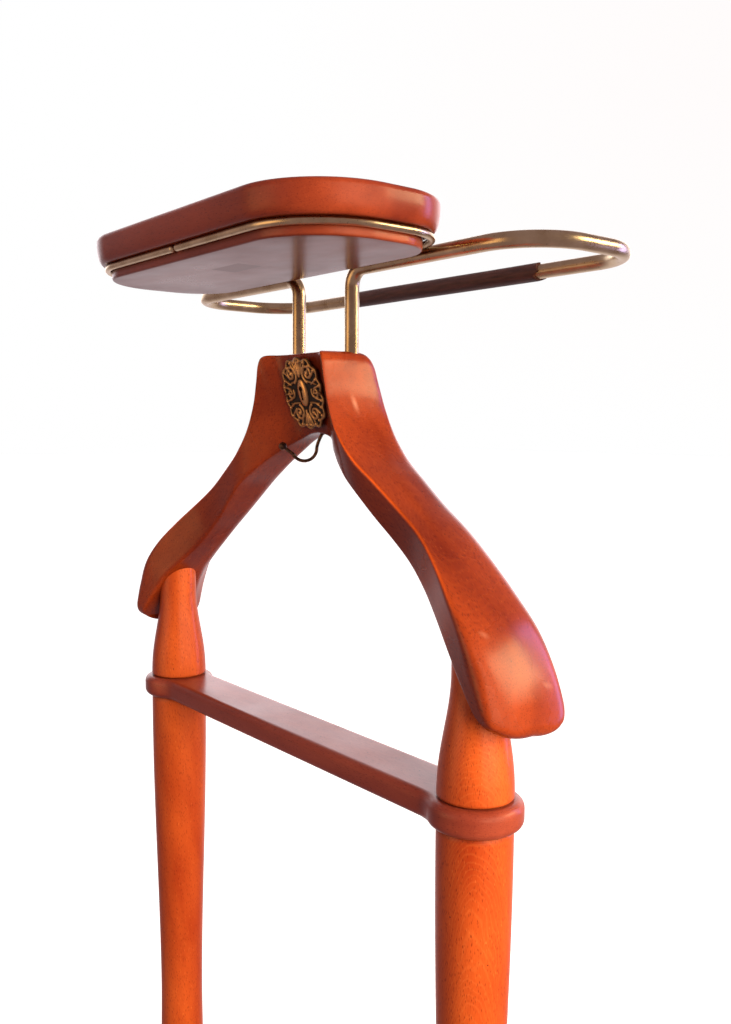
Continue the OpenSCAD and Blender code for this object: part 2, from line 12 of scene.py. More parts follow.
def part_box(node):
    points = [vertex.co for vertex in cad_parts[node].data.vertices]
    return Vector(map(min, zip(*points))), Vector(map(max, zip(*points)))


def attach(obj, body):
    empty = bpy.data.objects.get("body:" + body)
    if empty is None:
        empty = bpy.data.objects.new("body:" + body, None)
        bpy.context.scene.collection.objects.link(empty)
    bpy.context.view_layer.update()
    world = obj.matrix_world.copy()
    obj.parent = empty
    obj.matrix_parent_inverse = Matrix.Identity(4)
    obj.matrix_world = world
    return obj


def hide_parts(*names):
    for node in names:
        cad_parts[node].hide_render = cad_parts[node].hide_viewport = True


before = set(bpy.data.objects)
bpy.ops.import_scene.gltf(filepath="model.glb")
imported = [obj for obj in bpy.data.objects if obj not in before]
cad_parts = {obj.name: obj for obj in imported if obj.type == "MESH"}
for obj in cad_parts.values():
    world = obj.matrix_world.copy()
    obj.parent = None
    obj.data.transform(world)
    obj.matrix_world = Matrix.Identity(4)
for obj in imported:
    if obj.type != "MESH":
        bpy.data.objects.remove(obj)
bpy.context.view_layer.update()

MM = 0.001
random.seed(7)


# ---------- camera, light and stage ----------

CAMERA_AT = Vector((0.5717, -0.3968, 0.9523))
CAMERA_AZIMUTH = math.radians(51.31)
CAMERA_DOWN = math.radians(4.92)
CAMERA_ROLL = math.radians(0.42)
CAMERA_LENS = 34.55
BACKDROP_WAY = (-0.78, 0.62, 0.0)
ROOM_COLOUR = (0.16, 0.055, 0.042, 1)
GLEAM_COLOUR = (0.30, 0.21, 0.22, 1)
BACKDROP_COLOUR = (3.0, 2.7, 2.8, 1)


def make_camera():
    data = bpy.data.cameras.new("camera")
    data.lens = CAMERA_LENS
    data.sensor_width = 36.0
    data.clip_end = 50.0
    camera = bpy.data.objects.new("camera", data)
    bpy.context.scene.collection.objects.link(camera)
    az, down, roll = CAMERA_AZIMUTH, CAMERA_DOWN, CAMERA_ROLL
    right = Vector((math.cos(az), math.sin(az), 0))
    ahead = Vector((-math.sin(az) * math.cos(down), math.cos(az) * math.cos(down), -math.sin(down)))
    up = right.cross(ahead)
    tilted_right = right * math.cos(roll) + up * math.sin(roll)
    tilted_up = up * math.cos(roll) - right * math.sin(roll)
    axes = Matrix((tilted_right, tilted_up, -ahead)).transposed()
    camera.matrix_world = Matrix.Translation(CAMERA_AT) @ axes.to_4x4()
    bpy.context.scene.camera = camera


def add_area(name, at, aim, size, power, colour, shiny=True, soft=True):
    data = bpy.data.lights.new(name, "AREA")
    data.shape = "RECTANGLE"
    data.size, data.size_y = size
    data.energy = power
    data.color = colour
    lamp = bpy.data.objects.new(name, data)
    way = Vector(aim) - Vector(at)
    lamp.visible_glossy = shiny
    lamp.visible_diffuse = soft
    lamp.matrix_world = Matrix.Translation(at) @ way.to_track_quat("-Z", "Y").to_matrix().to_4x4()
    bpy.context.scene.collection.objects.link(lamp)


def make_lights():
    hanger = (0.05, 0.0, 0.93)
    add_area("key_window", (2.2, 0.1, 1.3), hanger, (2.2, 2.0), 168.0, (1.0, 0.84, 0.60), shiny=False)
    add_area("warm_card", (1.45, 1.45, 1.62), hanger, (0.85, 0.75), 24.0, (1.0, 0.77, 0.44), soft=False)
    add_area("rim_window", (0.75, 1.8, 1.15), hanger, (0.4, 1.5), 13.0, (0.42, 0.40, 1.0), soft=False)
    add_area("front_fill", (-0.3, -2.0, 1.5), hanger, (1.6, 1.6), 16.0, (0.80, 0.74, 1.0), shiny=False)
    add_area("gold_card", (-0.6, -1.9, 1.0), hanger, (1.3, 1.5), 9.0, (1.0, 0.60, 0.25), soft=False)


def make_world():
    """White backdrop behind the object, a darker warm room on the camera's side."""
    world = bpy.data.worlds.new("studio")
    bpy.context.scene.world = world
    world.use_nodes = True
    tree = world.node_tree
    tree.nodes.clear()
    place = node(tree, "ShaderNodeTexCoord").outputs["Generated"]
    facing = node(tree, "ShaderNodeVectorMath", {0: place, 1: BACKDROP_WAY}, operation="DOT_PRODUCT")
    height = node(tree, "ShaderNodeSeparateXYZ", {"Vector": place}).outputs["Z"]
    band = math_node(tree, "MULTIPLY", ramp(tree, height, 0.34, 0.6, 1.0, 0.0),
                     ramp(tree, height, -0.06, 0.06, 0.24, 1.0))
    share = math_node(tree, "MULTIPLY", ramp(tree, facing.outputs["Value"], 0.55, 0.85), band)
    path = node(tree, "ShaderNodeLightPath")
    near_side = mix_colour(tree, path.outputs["Is Glossy Ray"], ROOM_COLOUR, GLEAM_COLOUR)
    room = mix_colour(tree, share, near_side, BACKDROP_COLOUR)
    side = node(tree, "ShaderNodeVectorMath", {0: place, 1: (0.63, 0.78, 0.0)}, operation="DOT_PRODUCT")
    blush = math_node(tree, "MULTIPLY", ramp(tree, side.outputs["Value"], -0.1, 0.4),
                      ramp(tree, height, 0.0, 0.3))
    paper = mix_colour(tree, blush, (1.0, 1.0, 1.0, 1), (1.0, 0.963, 0.958, 1))
    colour = mix_colour(tree, path.outputs["Is Camera Ray"], room, paper)
    back = node(tree, "ShaderNodeBackground", {"Color": colour, "Strength": 1.0})
    out = node(tree, "ShaderNodeOutputWorld")
    tree.links.new(back.outputs[0], out.inputs["Surface"])


# ---------- node helpers ----------

def node(tree, kind, inputs=None, **settings):
    made = tree.nodes.new(kind)
    for name, value in settings.items():
        setattr(made, name, value)
    for key, value in (inputs or {}).items():
        if isinstance(value, bpy.types.NodeSocket):
            tree.links.new(value, made.inputs[key])
        else:
            made.inputs[key].default_value = value
    return made


def mix_colour(tree, share, a, b, blend="MIX"):
    made = node(tree, "ShaderNodeMix", {0: share, 6: a, 7: b}, data_type="RGBA", blend_type=blend)
    return made.outputs[2]


def ramp(tree, value, low, high, bottom=0.0, top=1.0):
    made = node(tree, "ShaderNodeMapRange", {"Value": value, "From Min": low, "From Max": high,
                                             "To Min": bottom, "To Max": top})
    return made.outputs["Result"]


def math_node(tree, operation, a, b):
    return node(tree, "ShaderNodeMath", {0: a, 1: b}, operation=operation).outputs[0]


def scaled(tree, vector, factors):
    return node(tree, "ShaderNodeVectorMath", {0: vector, 1: factors}, operation="MULTIPLY").outputs[0]


def noise(tree, vector, detail=3.0, rough=0.5):
    return node(tree, "ShaderNodeTexNoise", {"Vector": vector, "Scale": 1.0, "Detail": detail,
                                             "Roughness": rough}).outputs["Fac"]


def attribute(tree, name):
    return node(tree, "ShaderNodeAttribute", attribute_name=name)


def new_material(name):
    material = bpy.data.materials.new(name)
    material.use_nodes = True
    tree = material.node_tree
    tree.nodes.clear()
    shader = node(tree, "ShaderNodeBsdfPrincipled")
    out = node(tree, "ShaderNodeOutputMaterial")
    tree.links.new(shader.outputs[0], out.inputs["Surface"])
    return material, tree, shader


def set_sockets(tree, shader, values):
    for key, value in values.items():
        if isinstance(value, bpy.types.NodeSocket):
            tree.links.new(value, shader.inputs[key])
        else:
            shader.inputs[key].default_value = value


def bump(tree, height, strength, distance):
    return node(tree, "ShaderNodeBump", {"Height": height, "Strength": strength,
                                         "Distance": distance}).outputs["Normal"]


# ---------- materials ----------

def wood(name, dark, light, figure, gloss, figured, uneven, fleck_share):
    """Stained and lacquered beech. The grain attribute holds millimetres, with Z along the grain."""
    material, tree, shader = new_material(name)
    grain = attribute(tree, "grain").outputs["Vector"]
    knot_and_joint_shade = attribute(tree, "knot_and_joint_shade").outputs["Fac"]
    scuff = attribute(tree, "scuff").outputs["Fac"]
    ridge_highlight_and_wear = attribute(tree, "ridge_highlight_and_wear").outputs["Fac"]
    tone = noise(tree, scaled(tree, grain, (0.03, 0.03, 0.008)), 4.0, 0.55)
    wander = node(tree, "ShaderNodeTexNoise", {"Vector": scaled(tree, grain, (0.03, 0.03, 0.012)),
                                               "Scale": 1.0, "Detail": 2.0}).outputs["Color"]
    bent = node(tree, "ShaderNodeVectorMath", {0: wander, 1: (9.0, 9.0, 0.0), 2: grain},
                operation="MULTIPLY_ADD").outputs[0]
    rings = node(tree, "ShaderNodeTexWave", {"Vector": scaled(tree, bent, (1.0, 1.0, 0.05)),
                                             "Scale": 0.42, "Distortion": 1.4, "Detail": 3.0,
                                             "Detail Scale": 2.0},
                 wave_type="RINGS", rings_direction="Z", wave_profile="SIN").outputs["Fac"]
    cells = node(tree, "ShaderNodeTexVoronoi", {"Vector": scaled(tree, grain, (1.25, 1.25, 0.30)),
                                                "Scale": 1.0, "Randomness": 1.0})
    fleck = ramp(tree, cells.outputs["Distance"], 0.42, 0.16)
    flecks = math_node(tree, "MULTIPLY", fleck, ramp(tree, cells.outputs["Color"], 0.3, 0.7))
    fibre = noise(tree, scaled(tree, grain, (1.9, 1.9, 0.10)), 4.0, 0.6)
    spots = node(tree, "ShaderNodeTexVoronoi", {"Vector": scaled(tree, grain, (0.085, 0.085, 0.07)),
                                                "Scale": 1.0, "Randomness": 1.0})
    speck = ramp(tree, spots.outputs["Distance"], 0.05, 0.03)
    base = mix_colour(tree, ramp(tree, tone, 0.3, 0.7), dark, light)
    drawn = math_node(tree, "MULTIPLY", ramp(tree, rings, 0.62, 0.98), fibre)
    lines = ramp(tree, drawn, 0.2, 0.7, 0.0, figured)
    ringed = mix_colour(tree, lines, base, figure)
    deep = (dark[0] * 0.45, dark[1] * 0.4, dark[2] * 0.6, 1)
    fibred = mix_colour(tree, ramp(tree, fibre, 0.45, 0.75, 0.0, 0.45 * fleck_share + 0.1), ringed, dark)
    rays = math_node(tree, "MULTIPLY", fleck, ramp(tree, cells.outputs["Color"], 0.3, 0.0))
    rayed = mix_colour(tree, ramp(tree, rays, 0.0, 1.0, 0.0, 0.6 * fleck_share), fibred, figure)
    flecked = mix_colour(tree, ramp(tree, flecks, 0.0, 1.0, 0.0, fleck_share), rayed, deep)
    spotted = mix_colour(tree, ramp(tree, speck, 0.0, 1.0, 0.0, 0.8), flecked, (0.03, 0.006, 0.003, 1))
    # painted shade: the wood goes almost black where parts meet; on the arms the same value draws the dark
    # streaks round the knot
    knot_and_joint_shaded = mix_colour(tree, ramp(tree, knot_and_joint_shade, 0.0, 1.0, 0.0, 0.9), spotted, (0.02, 0.004, 0.003, 1))
    # painted highlight, partly edge wear: the arm's ridge turns light orange where this value is high
    rubbed = math_node(tree, "MULTIPLY", ridge_highlight_and_wear, ramp(tree, tone, 0.3, 0.65, 0.35, 1.0))
    worn = mix_colour(tree, rubbed, knot_and_joint_shaded, (0.72, 0.10, 0.012, 1))
    colour = mix_colour(tree, ramp(tree, scuff, 0.0, 1.0, 0.0, 0.75), worn, (0.75, 0.36, 0.24, 1))
    smear = noise(tree, scaled(tree, grain, (0.02, 0.02, 0.014)), 3.0, 0.6)
    rough = ramp(tree, smear, 0.3, 0.75, gloss, gloss + 0.14)
    relief = math_node(tree, "ADD", fibre, math_node(tree, "MULTIPLY", flecks, -0.5))
    set_sockets(tree, shader, {
        "Base Color": colour, "Roughness": rough, "Coat Weight": 0.16, "Coat Roughness": 0.16,
        "Coat IOR": 1.45, "Specular IOR Level": 0.24, "Normal": bump(tree, relief, uneven, 0.0003)})
    return material


def add_ghost(material, centre, half):
    """Duller, darker rectangle where a label was, in millimetres on the piece's underside."""
    tree = material.node_tree
    shader = next(n for n in tree.nodes if n.type == "BSDF_PRINCIPLED")
    place = node(tree, "ShaderNodeTexCoord").outputs["Object"]
    spot = node(tree, "ShaderNodeVectorMath", {0: scaled(tree, place, (1000.0,) * 3), 1: centre},
                operation="SUBTRACT").outputs[0]
    size = node(tree, "ShaderNodeVectorMath", {0: spot}, operation="ABSOLUTE").outputs[0]
    parts = node(tree, "ShaderNodeSeparateXYZ", {"Vector": size}).outputs
    inside = math_node(tree, "MULTIPLY", ramp(tree, parts["X"], half[0], half[0] - 1.0),
                       ramp(tree, parts["Y"], half[1], half[1] - 1.0))
    colour, rough = (shader.inputs[name] for name in ("Base Color", "Roughness"))
    faint = math_node(tree, "MULTIPLY", inside, 0.5)
    tree.links.new(mix_colour(tree, faint, colour.links[0].from_socket, (0.10, 0.035, 0.02, 1)), colour)
    dull = math_node(tree, "MULTIPLY", inside, 0.38)
    tree.links.new(math_node(tree, "MAXIMUM", rough.links[0].from_socket, dull), rough)
    return material


def plated_metal(name):
    """Aged brass-plated tube: warm champagne tint, small dark spots and fine rubbed marks."""
    material, tree, shader = new_material(name)
    place = node(tree, "ShaderNodeTexCoord").outputs["Object"]
    mm = scaled(tree, place, (1000.0, 1000.0, 1000.0))
    blotch = noise(tree, scaled(tree, mm, (0.05, 0.05, 0.05)), 4.0, 0.6)
    spots = node(tree, "ShaderNodeTexVoronoi", {"Vector": scaled(tree, mm, (0.38,) * 3),
                                                "Scale": 1.0, "Randomness": 1.0})
    pits = ramp(tree, spots.outputs["Distance"], 0.24, 0.1)
    crowd = ramp(tree, noise(tree, scaled(tree, mm, (0.09, 0.09, 0.09)), 2.0), 0.45, 0.7)
    pitted = math_node(tree, "MULTIPLY", pits, crowd)
    tint = mix_colour(tree, ramp(tree, blotch, 0.35, 0.7), (0.50, 0.38, 0.21, 1), (0.70, 0.58, 0.38, 1))
    colour = mix_colour(tree, ramp(tree, pitted, 0.0, 1.0, 0.0, 0.8), tint, (0.10, 0.07, 0.045, 1))
    fine = noise(tree, scaled(tree, mm, (1.4, 1.4, 1.4)), 3.0)
    set_sockets(tree, shader, {
        "Base Color": colour, "Metallic": 1.0,
        "Roughness": ramp(tree, math_node(tree, "ADD", blotch, pitted), 0.3, 1.3, 0.24, 0.48),
        "Normal": bump(tree, math_node(tree, "SUBTRACT", fine, pitted), 0.09, 0.0003)})
    return material


def cast_brass(name):
    """Antique cast brass: dark in the hollows, rubbed bright on the high parts."""
    material, tree, shader = new_material(name)
    place = node(tree, "ShaderNodeTexCoord").outputs["Object"]
    mm = scaled(tree, place, (1000.0, 1000.0, 1000.0))
    high = attribute(tree, "relief").outputs["Fac"]
    blotch = noise(tree, scaled(tree, mm, (0.5, 0.5, 0.5)), 4.0, 0.65)
    rubbed = math_node(tree, "ADD", high, math_node(tree, "MULTIPLY", blotch, 0.35))
    colour = mix_colour(tree, ramp(tree, rubbed, 0.4, 1.1), (0.014, 0.010, 0.007, 1), (0.72, 0.42, 0.17, 1))
    set_sockets(tree, shader, {
        "Base Color": colour, "Metallic": ramp(tree, rubbed, 0.2, 0.8, 0.35, 1.0),
        "Roughness": ramp(tree, rubbed, 0.2, 1.1, 0.6, 0.27),
        "Normal": bump(tree, noise(tree, scaled(tree, mm, (2.4, 2.4, 2.4)), 3.0), 0.25, 0.0003)})
    return material


def dark_wire(name):
    material, tree, shader = new_material(name)
    place = node(tree, "ShaderNodeTexCoord").outputs["Object"]
    mm = scaled(tree, place, (1000.0, 1000.0, 1000.0))
    blotch = noise(tree, scaled(tree, mm, (0.35, 0.35, 0.35)), 4.0, 0.65)
    colour = mix_colour(tree, ramp(tree, blotch, 0.4, 0.65), (0.05, 0.032, 0.024, 1), (0.30, 0.17, 0.08, 1))
    set_sockets(tree, shader, {"Base Color": colour, "Metallic": 1.0,
                               "Roughness": ramp(tree, blotch, 0.3, 0.7, 0.3, 0.5)})
    return material


def soft_sleeve(name):
    material, tree, shader = new_material(name)
    place = node(tree, "ShaderNodeTexCoord").outputs["Object"]
    mm = scaled(tree, place, (1000.0, 1000.0, 1000.0))
    long_marks = noise(tree, scaled(tree, mm, (0.05, 0.5, 0.5)), 4.0, 0.6)
    grainy = noise(tree, scaled(tree, mm, (1.6, 1.6, 1.6)), 3.0, 0.6)
    colour = mix_colour(tree, ramp(tree, long_marks, 0.35, 0.7), (0.035, 0.012, 0.009, 1),
                        (0.085, 0.03, 0.022, 1))
    set_sockets(tree, shader, {
        "Base Color": colour, "Roughness": ramp(tree, grainy, 0.3, 0.7, 0.42, 0.62),
        "Normal": bump(tree, math_node(tree, "ADD", grainy, long_marks), 0.25, 0.0004)})
    return material


def moulded_plastic(name):
    material, tree, shader = new_material(name)
    place = node(tree, "ShaderNodeTexCoord").outputs["Object"]
    grainy = noise(tree, scaled(tree, place, (1500.0, 1500.0, 1500.0)), 2.0)
    colour = mix_colour(tree, grainy, (0.022, 0.02, 0.02, 1), (0.04, 0.036, 0.035, 1))
    set_sockets(tree, shader, {"Base Color": colour, "Roughness": ramp(tree, grainy, 0.3, 0.7, 0.5, 0.65),
                               "Normal": bump(tree, grainy, 0.2, 0.0002)})
    return material


def zinc_steel(name):
    material, tree, shader = new_material(name)
    place = node(tree, "ShaderNodeTexCoord").outputs["Object"]
    grainy = noise(tree, scaled(tree, place, (900.0, 900.0, 900.0)), 3.0)
    colour = mix_colour(tree, grainy, (0.42, 0.42, 0.43, 1), (0.62, 0.62, 0.64, 1))
    set_sockets(tree, shader, {"Base Color": colour, "Metallic": 1.0,
                               "Roughness": ramp(tree, grainy, 0.3, 0.7, 0.25, 0.45)})
    return material


def raw_beech(name):
    material, tree, shader = new_material(name)
    place = node(tree, "ShaderNodeTexCoord").outputs["Object"]
    fibre = noise(tree, scaled(tree, place, (900.0, 900.0, 900.0)), 3.0)
    colour = mix_colour(tree, fibre, (0.50, 0.33, 0.17, 1), (0.66, 0.48, 0.29, 1))
    set_sockets(tree, shader, {"Base Color": colour, "Roughness": 0.6,
                               "Normal": bump(tree, fibre, 0.2, 0.0003)})
    return material


def pale_floor(name):
    material, tree, shader = new_material(name)
    place = node(tree, "ShaderNodeTexCoord").outputs["Object"]
    cloudy = noise(tree, scaled(tree, place, (1.5, 1.5, 1.5)), 2.0)
    side = node(tree, "ShaderNodeVectorMath", {0: place, 1: (0.63, 0.78, 0.0)}, operation="DOT_PRODUCT")
    paper = mix_colour(tree, ramp(tree, side.outputs["Value"], 0.5, 3.0), (1.0, 1.0, 1.0, 1),
                       (1.0, 0.985, 0.98, 1))
    colour = mix_colour(tree, cloudy, (0.90, 0.89, 0.885, 1), (0.93, 0.925, 0.92, 1))
    away = node(tree, "ShaderNodeVectorMath", {0: place}, operation="LENGTH").outputs["Value"]
    glow = ramp(tree, away, 0.4, 1.0, 0.1, 0.95)
    set_sockets(tree, shader, {"Base Color": colour, "Roughness": 0.9, "Specular IOR Level": 0.1,
                               "Emission Color": paper, "Emission Strength": glow})
    return material


# ---------- mesh helpers ----------

def skin(rings, caps=True):
    """Points and faces of a surface through equal rings, with a flat cap at each end."""
    m = len(rings[0])
    points = [tuple(p) for ring in rings for p in ring]
    faces = []
    for i in range(len(rings) - 1):
        a, b = i * m, (i + 1) * m
        faces += [(a + j, a + (j + 1) % m, b + (j + 1) % m, b + j) for j in range(m)]
    if caps:
        faces.append(tuple(range(m - 1, -1, -1)))
        faces.append(tuple((len(rings) - 1) * m + j for j in range(m)))
    return points, faces


def build_mesh(name, points, faces, sharp=40.0):
    """Mesh from points in millimetres."""
    mesh = bpy.data.meshes.new(name)
    mesh.from_pydata([(p[0] * MM, p[1] * MM, p[2] * MM) for p in points], [], faces)
    work = bmesh.new()
    work.from_mesh(mesh)
    bmesh.ops.remove_doubles(work, verts=work.verts, dist=1e-6)
    bmesh.ops.recalc_face_normals(work, faces=work.faces)
    work.to_mesh(mesh)
    work.free()
    mesh.shade_smooth()
    mesh.set_sharp_from_angle(angle=math.radians(sharp))
    return mesh


def add_values(mesh, name, make):
    """Float attribute on the points, from a function of the place in millimetres."""
    made = mesh.attributes.new(name, "FLOAT", "POINT")
    made.data.foreach_set("value", [make(v.co / MM) for v in mesh.vertices])


def add_grain(mesh, along, shift=(0, 0, 0)):
    """Grain coordinates in millimetres, with Z along the given direction."""
    turn = Vector(along).normalized().rotation_difference(Vector((0, 0, 1))).to_matrix()
    made = mesh.attributes.new("grain", "FLOAT_VECTOR", "POINT")
    flat = [c for v in mesh.vertices for c in (turn @ (v.co / MM) + Vector(shift))]
    made.data.foreach_set("vector", flat)


def place_piece(name, mesh, material, body, slot, *nodes):
    piece = bpy.data.objects.new(name, mesh)
    mesh.materials.append(material)
    bpy.context.scene.collection.objects.link(piece)
    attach(piece, body)
    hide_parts(*nodes)
    return piece


def arc(cx, cy, r, a0, a1, steps):
    """Points on an arc, in degrees, ends included."""
    angles = [math.radians(a0 + (a1 - a0) * k / steps) for k in range(steps + 1)]
    return [(cx + r * math.cos(a), cy + r * math.sin(a)) for a in angles]


def tidy_path(points):
    """The same points without repeats."""
    kept = [Vector(points[0])]
    for p in points[1:]:
        if (Vector(p) - kept[-1]).length > 0.02:
            kept.append(Vector(p))
    return kept


def sweep(path, radius_at, sides):
    """Rings of a round bar along a path, with the radius given by the distance from its start."""
    path = tidy_path(path)
    tangents = [(path[min(i + 1, len(path) - 1)] - path[max(i - 1, 0)]).normalized()
                for i in range(len(path))]
    across = tangents[0].orthogonal().normalized()
    rings, distance = [], 0.0
    for i, p in enumerate(path):
        if i:
            distance += (p - path[i - 1]).length
            across = tangents[i - 1].rotation_difference(tangents[i]) @ across
        across = (across - tangents[i] * across.dot(tangents[i])).normalized()
        other = tangents[i].cross(across)
        r = radius_at(distance)
        rings.append([p + r * (math.cos(t) * across + math.sin(t) * other)
                      for t in (2 * math.pi * k / sides for k in range(sides))])
    return rings


def lathe(cx, cy, profile, sides):
    """Rings of a turned shape from (radius, height) pairs."""
    return [[(cx + r * math.cos(t), cy + r * math.sin(t), z)
             for t in (2 * math.pi * k / sides for k in range(sides))] for r, z in profile]


def path_normals(outline):
    """Outward normals of a closed flat outline that runs anticlockwise."""
    count = len(outline)
    normals = []
    for i, p in enumerate(outline):
        before, after = Vector(outline[i - 1]), Vector(outline[(i + 1) % count])
        here = Vector(p)
        way = (here - before).normalized() + (after - here).normalized()
        normals.append(Vector((way.y, -way.x)).normalized())
    return normals


def moulded(outline, profile):
    """Rings of an outline drawn out along its normals by each profile (distance, height) pair."""
    outline = [Vector(p) for p in outline]
    normals = path_normals(outline)
    return [[(p.x + n.x * d, p.y + n.y * d, z) for p, n in zip(outline, normals)] for d, z in profile]


def spread(outline, longest):
    """The closed outline with extra points on its long straight stretches."""
    filled = []
    for i, p in enumerate(outline):
        a, b = Vector(p), Vector(outline[(i + 1) % len(outline)])
        parts = max(1, math.ceil((b - a).length / longest))
        filled += [tuple(a.lerp(b, k / parts)) for k in range(parts)]
    return filled


def round_edges(half, r, steps):
    """Profile of a flat board's rounded rim, from its lower to its upper side: (distance, height)."""
    low = [(r * (math.sin(t) - 1), -half + r * (1 - math.cos(t)))
           for t in (math.pi / 2 * k / steps for k in range(steps + 1))]
    return low + [(d, -z) for d, z in reversed(low)]


def folded(rings, spine):
    """The rings, with both flat ends drawn together onto their spine by quads instead of a cap."""
    def drawn(ring, share):
        return [Vector(p).lerp(Vector(spine(p)), share) for p in ring]
    shares = (0.3, 0.65, 1.0)
    return [drawn(rings[0], k) for k in reversed(shares)] + rings + [drawn(rings[-1], k) for k in shares]


def inset_ends(profile):
    """The profile with a step inwards at each end, so that the flat faces shade as flat."""
    (d0, z0), (d1, z1) = profile[0], profile[-1]
    return [(d0 - 2.0, z0), (d0 - 0.6, z0)] + profile + [(d1 - 0.6, z1), (d1 - 2.0, z1)]


def box_mm(name):
    low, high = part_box(name)
    return low / MM, high / MM


# ---------- hanger ----------

# Sections of one half of the hanger in millimetres, from the neck to the tip: upper x and z, lower x
# and z, front y above, back y above, front y below, back y below, drop at the back
ARM_SECTIONS = [
    (0, 1003.5, 0, 948, 0.5, 40, 15.8, 34, 0),
    (14, 1003.5, 9, 947, 0.3, 40, 15.7, 34, 0),
    (26, 1003.5, 17, 944.5, -1.2, 40, 15.2, 33.5, 0),
    (35, 1003, 25, 940.5, -8, 40, 11.6, 32.5, 0),
    (39.3, 998, 32, 936, -9.2, 40.5, 7, 31.5, 0),
    (41.8, 986, 40, 930.5, -9, 42.5, 3, 30, 0),
    (46, 969, 49, 924.5, -8.8, 45.5, -0.5, 28.5, 0),
    (55, 950, 60, 917, -9, 47.5, -3.5, 27, 0),
    (71, 932.5, 74, 907.5, -8.5, 47, -5, 26, 0),
    (91, 918.5, 90, 894.5, -6.8, 45, -4, 25, 0),
    (113, 903.5, 106, 881.5, -6, 43, -2, 24, 0),
    (136, 889, 122, 869, -8, 42, -2, 23, 0),
    (158, 872.5, 138, 855, -14.5, 41, -4.5, 21, 0),
    (178, 855, 155, 841, -22, 41.5, -10.5, 19.5, 1),
    (194, 838, 171, 827.5, -26, 43, -17, 19, 2),
    (205.5, 819.5, 185, 812, -26.7, 44, -20.5, 20, 3.5),
    (212.5, 802.5, 197, 798.5, -26, 44, -22.5, 23, 5),
    (216, 789.5, 207, 787.5, -24.5, 43, -22.5, 27, 6.5),
]
ARM_CROWN = 2.6
NECK_CROWN = 0.5
ARM_ROUND_FRONT = 2.4
ARM_ROUND_TIP = 13.0
ARM_ROUND_BACK = 15.0
ARM_ROUND_UNDER = 5.0
TIP_REACH = 7.0
RIDGE_POINT = 5
# Radius of the tip's outline, and the length of arm between the last two sections
TIP_CORNER = 19.0
TIP_STEP = 13.4
# Small marks in the lacquer: place, length up and across, strength
SCUFFS = [((44, 14, 969), 5.0, 0.9, 0.6), ((214, 24, 808), 1.4, 1.6, 0.7), ((196, -12, 838), 1.2, 1.2, 0.5)]

# Middle of the knot beside the scooped neck, mm
KNOT = (44, 6, 956)

# Heights between which the ridge along an arm gets a painted highlight, partly edge wear, mm
RIDGE_HIGHLIGHT_FROM_TO_Z = (845.0, 955.0)


def through(rows, u):
    """Catmull-Rom row at position u."""
    last = len(rows) - 1
    i = min(int(u), last - 1)
    t = u - i
    p0, p1, p2, p3 = (np.array(rows[k], float) for k in (max(i - 1, 0), i, i + 1, min(i + 2, last)))
    return 0.5 * (2 * p1 + (p2 - p0) * t + (2 * p0 - 5 * p1 + 4 * p2 - p3) * t ** 2
                  + (3 * p1 - p0 - 3 * p2 + p3) * t ** 3)


def toward(p, q, d):
    return p + (q - p) * min(0.46, d / max((q - p).length, 0.01))


def corner(a, c, b, steps):
    return [(1 - t) ** 2 * a + 2 * t * (1 - t) * c + t * t * b for t in (k / steps for k in range(steps + 1))]


def between(a, b, count):
    return [a.lerp(b, (k + 1) / (count + 1)) for k in range(count)]


def ease(value, low, high):
    """0 to 1 with soft ends as the value goes from low to high."""
    t = max(0.0, min(1.0, (value - low) / (high - low)))
    return t * t * (3 - 2 * t)


def section_loop(row, height, round_front, crown):
    """One closed section as (y, height) pairs, with rounded corners and a crowned top."""
    front_up, back_up = Vector((row[4], height)), Vector((row[5], height))
    front_low, back_low = Vector((row[6], 0)), Vector((row[7], 0))
    a, b = toward(front_up, front_low, round_front), toward(front_up, back_up, round_front)
    c, d = toward(back_up, front_up, ARM_ROUND_BACK), toward(back_up, back_low, ARM_ROUND_BACK)
    e, f = toward(back_low, back_up, ARM_ROUND_UNDER), toward(back_low, front_low, ARM_ROUND_UNDER)
    g, h = toward(front_low, back_low, ARM_ROUND_FRONT), toward(front_low, front_up, ARM_ROUND_FRONT)
    loop = corner(a, front_up, b, 10) + between(b, c, 12) + corner(c, back_up, d, 12)
    loop += between(d, e, 5) + corner(e, back_low, f, 7) + between(f, g, 8) + corner(g, front_low, h, 7)
    loop += between(h, a, 10)
    shares = [(p.x - row[4]) / (row[5] - row[4]) for p in loop]
    return [p + Vector((0, crown * 4 * max(0.0, t * (1 - t)) * max(0.0, p.y / height) ** 2))
            for p, t in zip(loop, shares)]


def tip_width(left):
    """Share of the full width at this distance from the tip."""
    gap = max(0.0, 1 - left / TIP_CORNER)
    return (1 - gap ** 2.2) ** (1 / 2.2)


def arm_ring(u, tall, reach, side):
    row = through(ARM_SECTIONS, u)
    last = len(ARM_SECTIONS) - 1
    wide = tip_width(TIP_REACH - reach + (last - u) * TIP_STEP)
    low, up = Vector((row[2], row[3])), Vector((row[0], row[1]))
    height = (up - low).length
    rise = (up - low) / height
    out = Vector((rise.y, -rise.x))
    middle = (row[4] + row[5]) / 2
    round_front = ARM_ROUND_FRONT + (ARM_ROUND_TIP - ARM_ROUND_FRONT) * ease(u, 11.5, 16.5)
    crown = NECK_CROWN + (ARM_CROWN - NECK_CROWN) * ease(u, 3, 7)
    ring = []
    for p in section_loop(row, height, round_front, crown):
        y = middle + (p.x - middle) * wide
        q = low + rise * (height / 2 + (p.y - height / 2) * tall) + out * reach
        drop = row[8] * max(0.0, y - middle) / (row[5] - middle)
        ring.append(Vector((side * q.x, y, q.y - drop)))
    return ring


def scuff_at(p):
    worst = 0.0
    for place, tall, wide, strength in SCUFFS:
        gap = p - Vector(place)
        worst = max(worst, strength * math.exp(-(gap.z / tall) ** 2 - (gap.y / wide) ** 2
                                               - (gap.x / 12.0) ** 2))
    return worst


